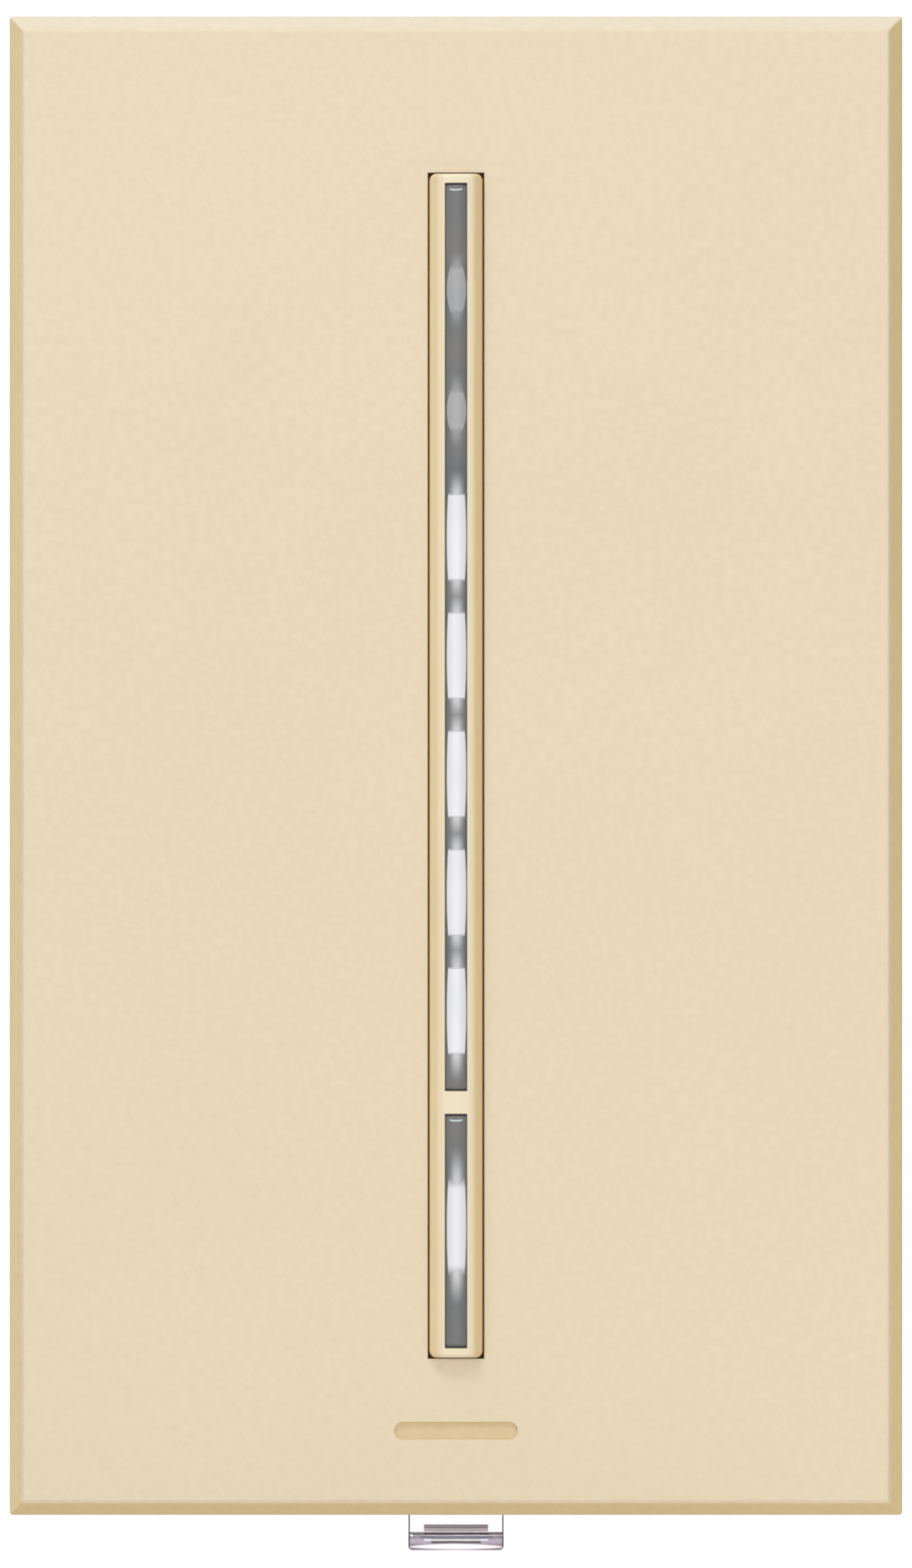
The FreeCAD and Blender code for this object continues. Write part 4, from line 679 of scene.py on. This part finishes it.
def winding():
    """Wire wound round the ring core.

    The wire's angle round the ring grows steadily over five sixths of a turn while it circles the core's
    section 26 times. The section is a superellipse: |across / a|^6 + |along / b|^6 = 1. Both ends run down to
    the board, and a running average over five points rounds the corners.
    """
    share = span(0, 1, TURNS * 44)
    section = 2 * np.pi * TURNS * share - np.pi / 2
    ring = np.radians(120 + 300 * share)
    power = 1 / 3
    cosine, sine = np.cos(section), np.sin(section)
    out = RING_RADIUS + SECTION_ACROSS * np.sign(cosine) * np.abs(cosine) ** power
    deep = CHOKE_DEPTH + SECTION_ALONG * np.sign(sine) * np.abs(sine) ** power
    path = np.stack([CHOKE_X + out * np.cos(ring), deep, CHOKE_Z + out * np.sin(ring)], -1)
    lead = span(BOARD_FACE, deep[0], 8)[:-1]
    first = np.stack([np.full(7, path[0, 0]), lead, np.full(7, path[0, 2])], -1)
    last = np.stack([np.full(7, path[-1, 0]), lead[::-1], np.full(7, path[-1, 2])], -1)
    path = np.concatenate([first, path, last])
    kernel = np.array([1, 4, 6, 4, 1]) / 16
    padded = np.pad(path, ((2, 2), (0, 0)), "edge")
    path = np.stack([np.convolve(padded[:, i], kernel, "valid") for i in range(3)], -1)
    return tube("choke_wire", path, 0.41, "housing", 8)


wire = winding()
wire.data.materials.append(FINISHES["choke_winding"])
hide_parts("choke_winding")


# ---------------------------------------------------------------- elastomers

# Height of one lamp's step.
LAMP_PITCH = 9.95


def elastomer_strip(node):
    """Rubber strip behind a bar, with low domes along its front.

    Each section across the strip is a superellipse, |across / a|^4 + |depth / b|^4 = 1. Both a and b draw in
    towards the ends by (1 - t^8)^(1/4), and the front's b follows 0.94 + 0.06 * cos(2 pi * height / pitch).
    """
    low, high = (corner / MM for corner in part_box(node))
    centre, half = (low + high) / 2, (high - low) / 2
    share = np.sin(span(-np.pi / 2, np.pi / 2, 160))[:, None]
    drawn_in = 0.4 + 0.6 * np.abs(1 - share ** 8) ** 0.25
    cosines, sines = circle_xy(28)
    z = centre[2] + half[2] * share + 0 * cosines
    dome = np.where(sines < 0, 0.94 + 0.06 * np.cos(2 * np.pi * z / LAMP_PITCH), 1.0)
    x = centre[0] + half[0] * drawn_in * np.sign(cosines) * np.abs(cosines) ** 0.5
    y = centre[1] + half[1] * drawn_in * dome * np.sign(sines) * np.abs(sines) ** 0.5
    return np.stack([x, y, z], -1)


for node, joint in (("dimming_elastomer", "dimming_bar_press"), ("switch_elastomer", "switch_bar_press")):
    strip = add_piece(f"{node}_strip", elastomer_strip(node), "housing", caps=(True, True), smooth=60)
    strip.data.materials.append(FINISHES["dimming_elastomer"])
    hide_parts(node)
    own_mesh(strip)


# ---------------------------------------------------------------- studio

FLOOR_LEVEL = -90.0
FLOOR_RADIUS = 270.0
FLOOR_MIDDLE = 12.0
low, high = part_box("cover_plate")
plate_centre = (low + high) / 2 / MM


def floor_finish():
    """Pale matte board that fades away towards its edge."""
    material = bpy.data.materials.new("floor_board")
    tree = Tree(material)
    x, y, _ = tree.axes()
    speck = tree.noise(30.0, 2.0)
    color = tree.blend(speck, tone(228, 225, 218), tone(232, 229, 222))
    board = tree.add("ShaderNodeBsdfPrincipled", None, {"Base Color": color, "Roughness": speck * 0.1 + 0.6})
    away = (x * x + (y - FLOOR_MIDDLE) * (y - FLOOR_MIDDLE)).root()
    clear = tree.add("ShaderNodeBsdfTransparent")
    faded = tree.add("ShaderNodeMixShader", None, {0: away.smooth(150.0, 262.0), 1: board, 2: clear})
    tree.add("ShaderNodeOutputMaterial", None, {"Surface": faded})
    return material


def round_floor():
    """A flat disc under the object: concentric rings of growing radius, filled from a point in the middle."""
    radii = span(1.0, FLOOR_RADIUS, 8)[:, None]
    cosines, sines = circle_xy(96)
    rings = np.stack([radii * cosines, radii * sines, np.full((8, 96), FLOOR_LEVEL)], -1)
    rings[:, :, 1] += FLOOR_MIDDLE
    floor = add_piece("studio_floor", rings, None, caps=(True, False))
    floor.data.materials.append(floor_finish())


def soft_light(name, place, target, size, power, color):
    """A rectangular softbox at a place in millimetres, aimed at a target. It leaves no mirror image."""
    light = bpy.data.lights.new(name, "AREA")
    light.shape = "RECTANGLE"
    light.size, light.size_y = size[0] * MM, size[1] * MM
    light.energy = power
    light.color = color
    lamp = bpy.data.objects.new(name, light)
    lamp.location = Vector(place) * MM
    lamp.visible_glossy = False
    lamp.rotation_mode = "QUATERNION"
    lamp.rotation_quaternion = (Vector(target) - Vector(place)).to_track_quat("-Z", "Y")
    bpy.context.scene.collection.objects.link(lamp)


# Brightness of the room on each side, and color of its backdrop.
ROOM = {"front": 0.93, "back": 0.45, "up": 0.35, "down": 0.26, "left": 0.33, "right": 0.17}
BACKDROP = (1.06, 1.06, 1.06)


def room_light():
    """Soft light from all round: each side's brightness weighed by the square of the direction along it.

    The room itself is seen as a plain white backdrop, also through clear plastic.
    """
    world = bpy.data.worlds.new("studio")
    bpy.context.scene.world = world
    tree = Tree(world)
    x, y, z = tree.axes(tree.add("ShaderNodeTexCoord", output="Generated"))
    total = 0.0
    for axis, near, far in ((x, "left", "right"), (y, "front", "back"), (z, "down", "up")):
        total = axis * axis * (axis.above(0.0) * (ROOM[far] - ROOM[near]) + ROOM[near]) + total
    glow = tree.add("ShaderNodeBackground", None, {"Strength": total})
    backdrop = tree.add("ShaderNodeBackground", None, {"Color": (*BACKDROP, 1.0)})
    seen = tree.add("ShaderNodeLightPath", output="Is Camera Ray")
    through = tree.add("ShaderNodeLightPath", output="Is Transmission Ray")
    mixed = tree.add("ShaderNodeMixShader", None, {0: seen.highest(through), 1: glow, 2: backdrop})
    tree.add("ShaderNodeOutputWorld", None, {"Surface": mixed})


round_floor()
room_light()
soft_light("top_box", (-120, -330, 640), (0, 0, 0), (700, 260), 2.8, (1.0, 1.04, 1.14))
soft_light("front_box", (60, -1200, -10), (0, 0, 0), (600, 600), 4.2, (1.0, 1.0, 0.99))
soft_light("rear_box", (260, 620, 420), (0, 20, 0), (500, 400), 4.0, (1.0, 1.0, 1.0))

# In millimetres: height of what the camera sees, its distance from the plate, its height, and sensor width.
VIEW_HEIGHT = 131.8
DISTANCE = 3000.0
EYE_LEVEL = -1.54
SENSOR = 36.0
camera_data = bpy.data.cameras.new("camera")
camera_data.sensor_fit = "AUTO"
camera_data.sensor_width = SENSOR
camera_data.lens = SENSOR * DISTANCE / VIEW_HEIGHT
camera = bpy.data.objects.new("camera", camera_data)
camera.location = Vector((plate_centre.x, PLATE_FRONT - DISTANCE, EYE_LEVEL)) * MM
camera.rotation_euler = (math.radians(90), 0, 0)
camera_data.clip_start = 0.05
camera_data.clip_end = 20
bpy.context.scene.collection.objects.link(camera)
bpy.context.scene.camera = camera
bpy.context.scene.view_settings.view_transform = "Standard"
bpy.context.scene.view_settings.look = "None"
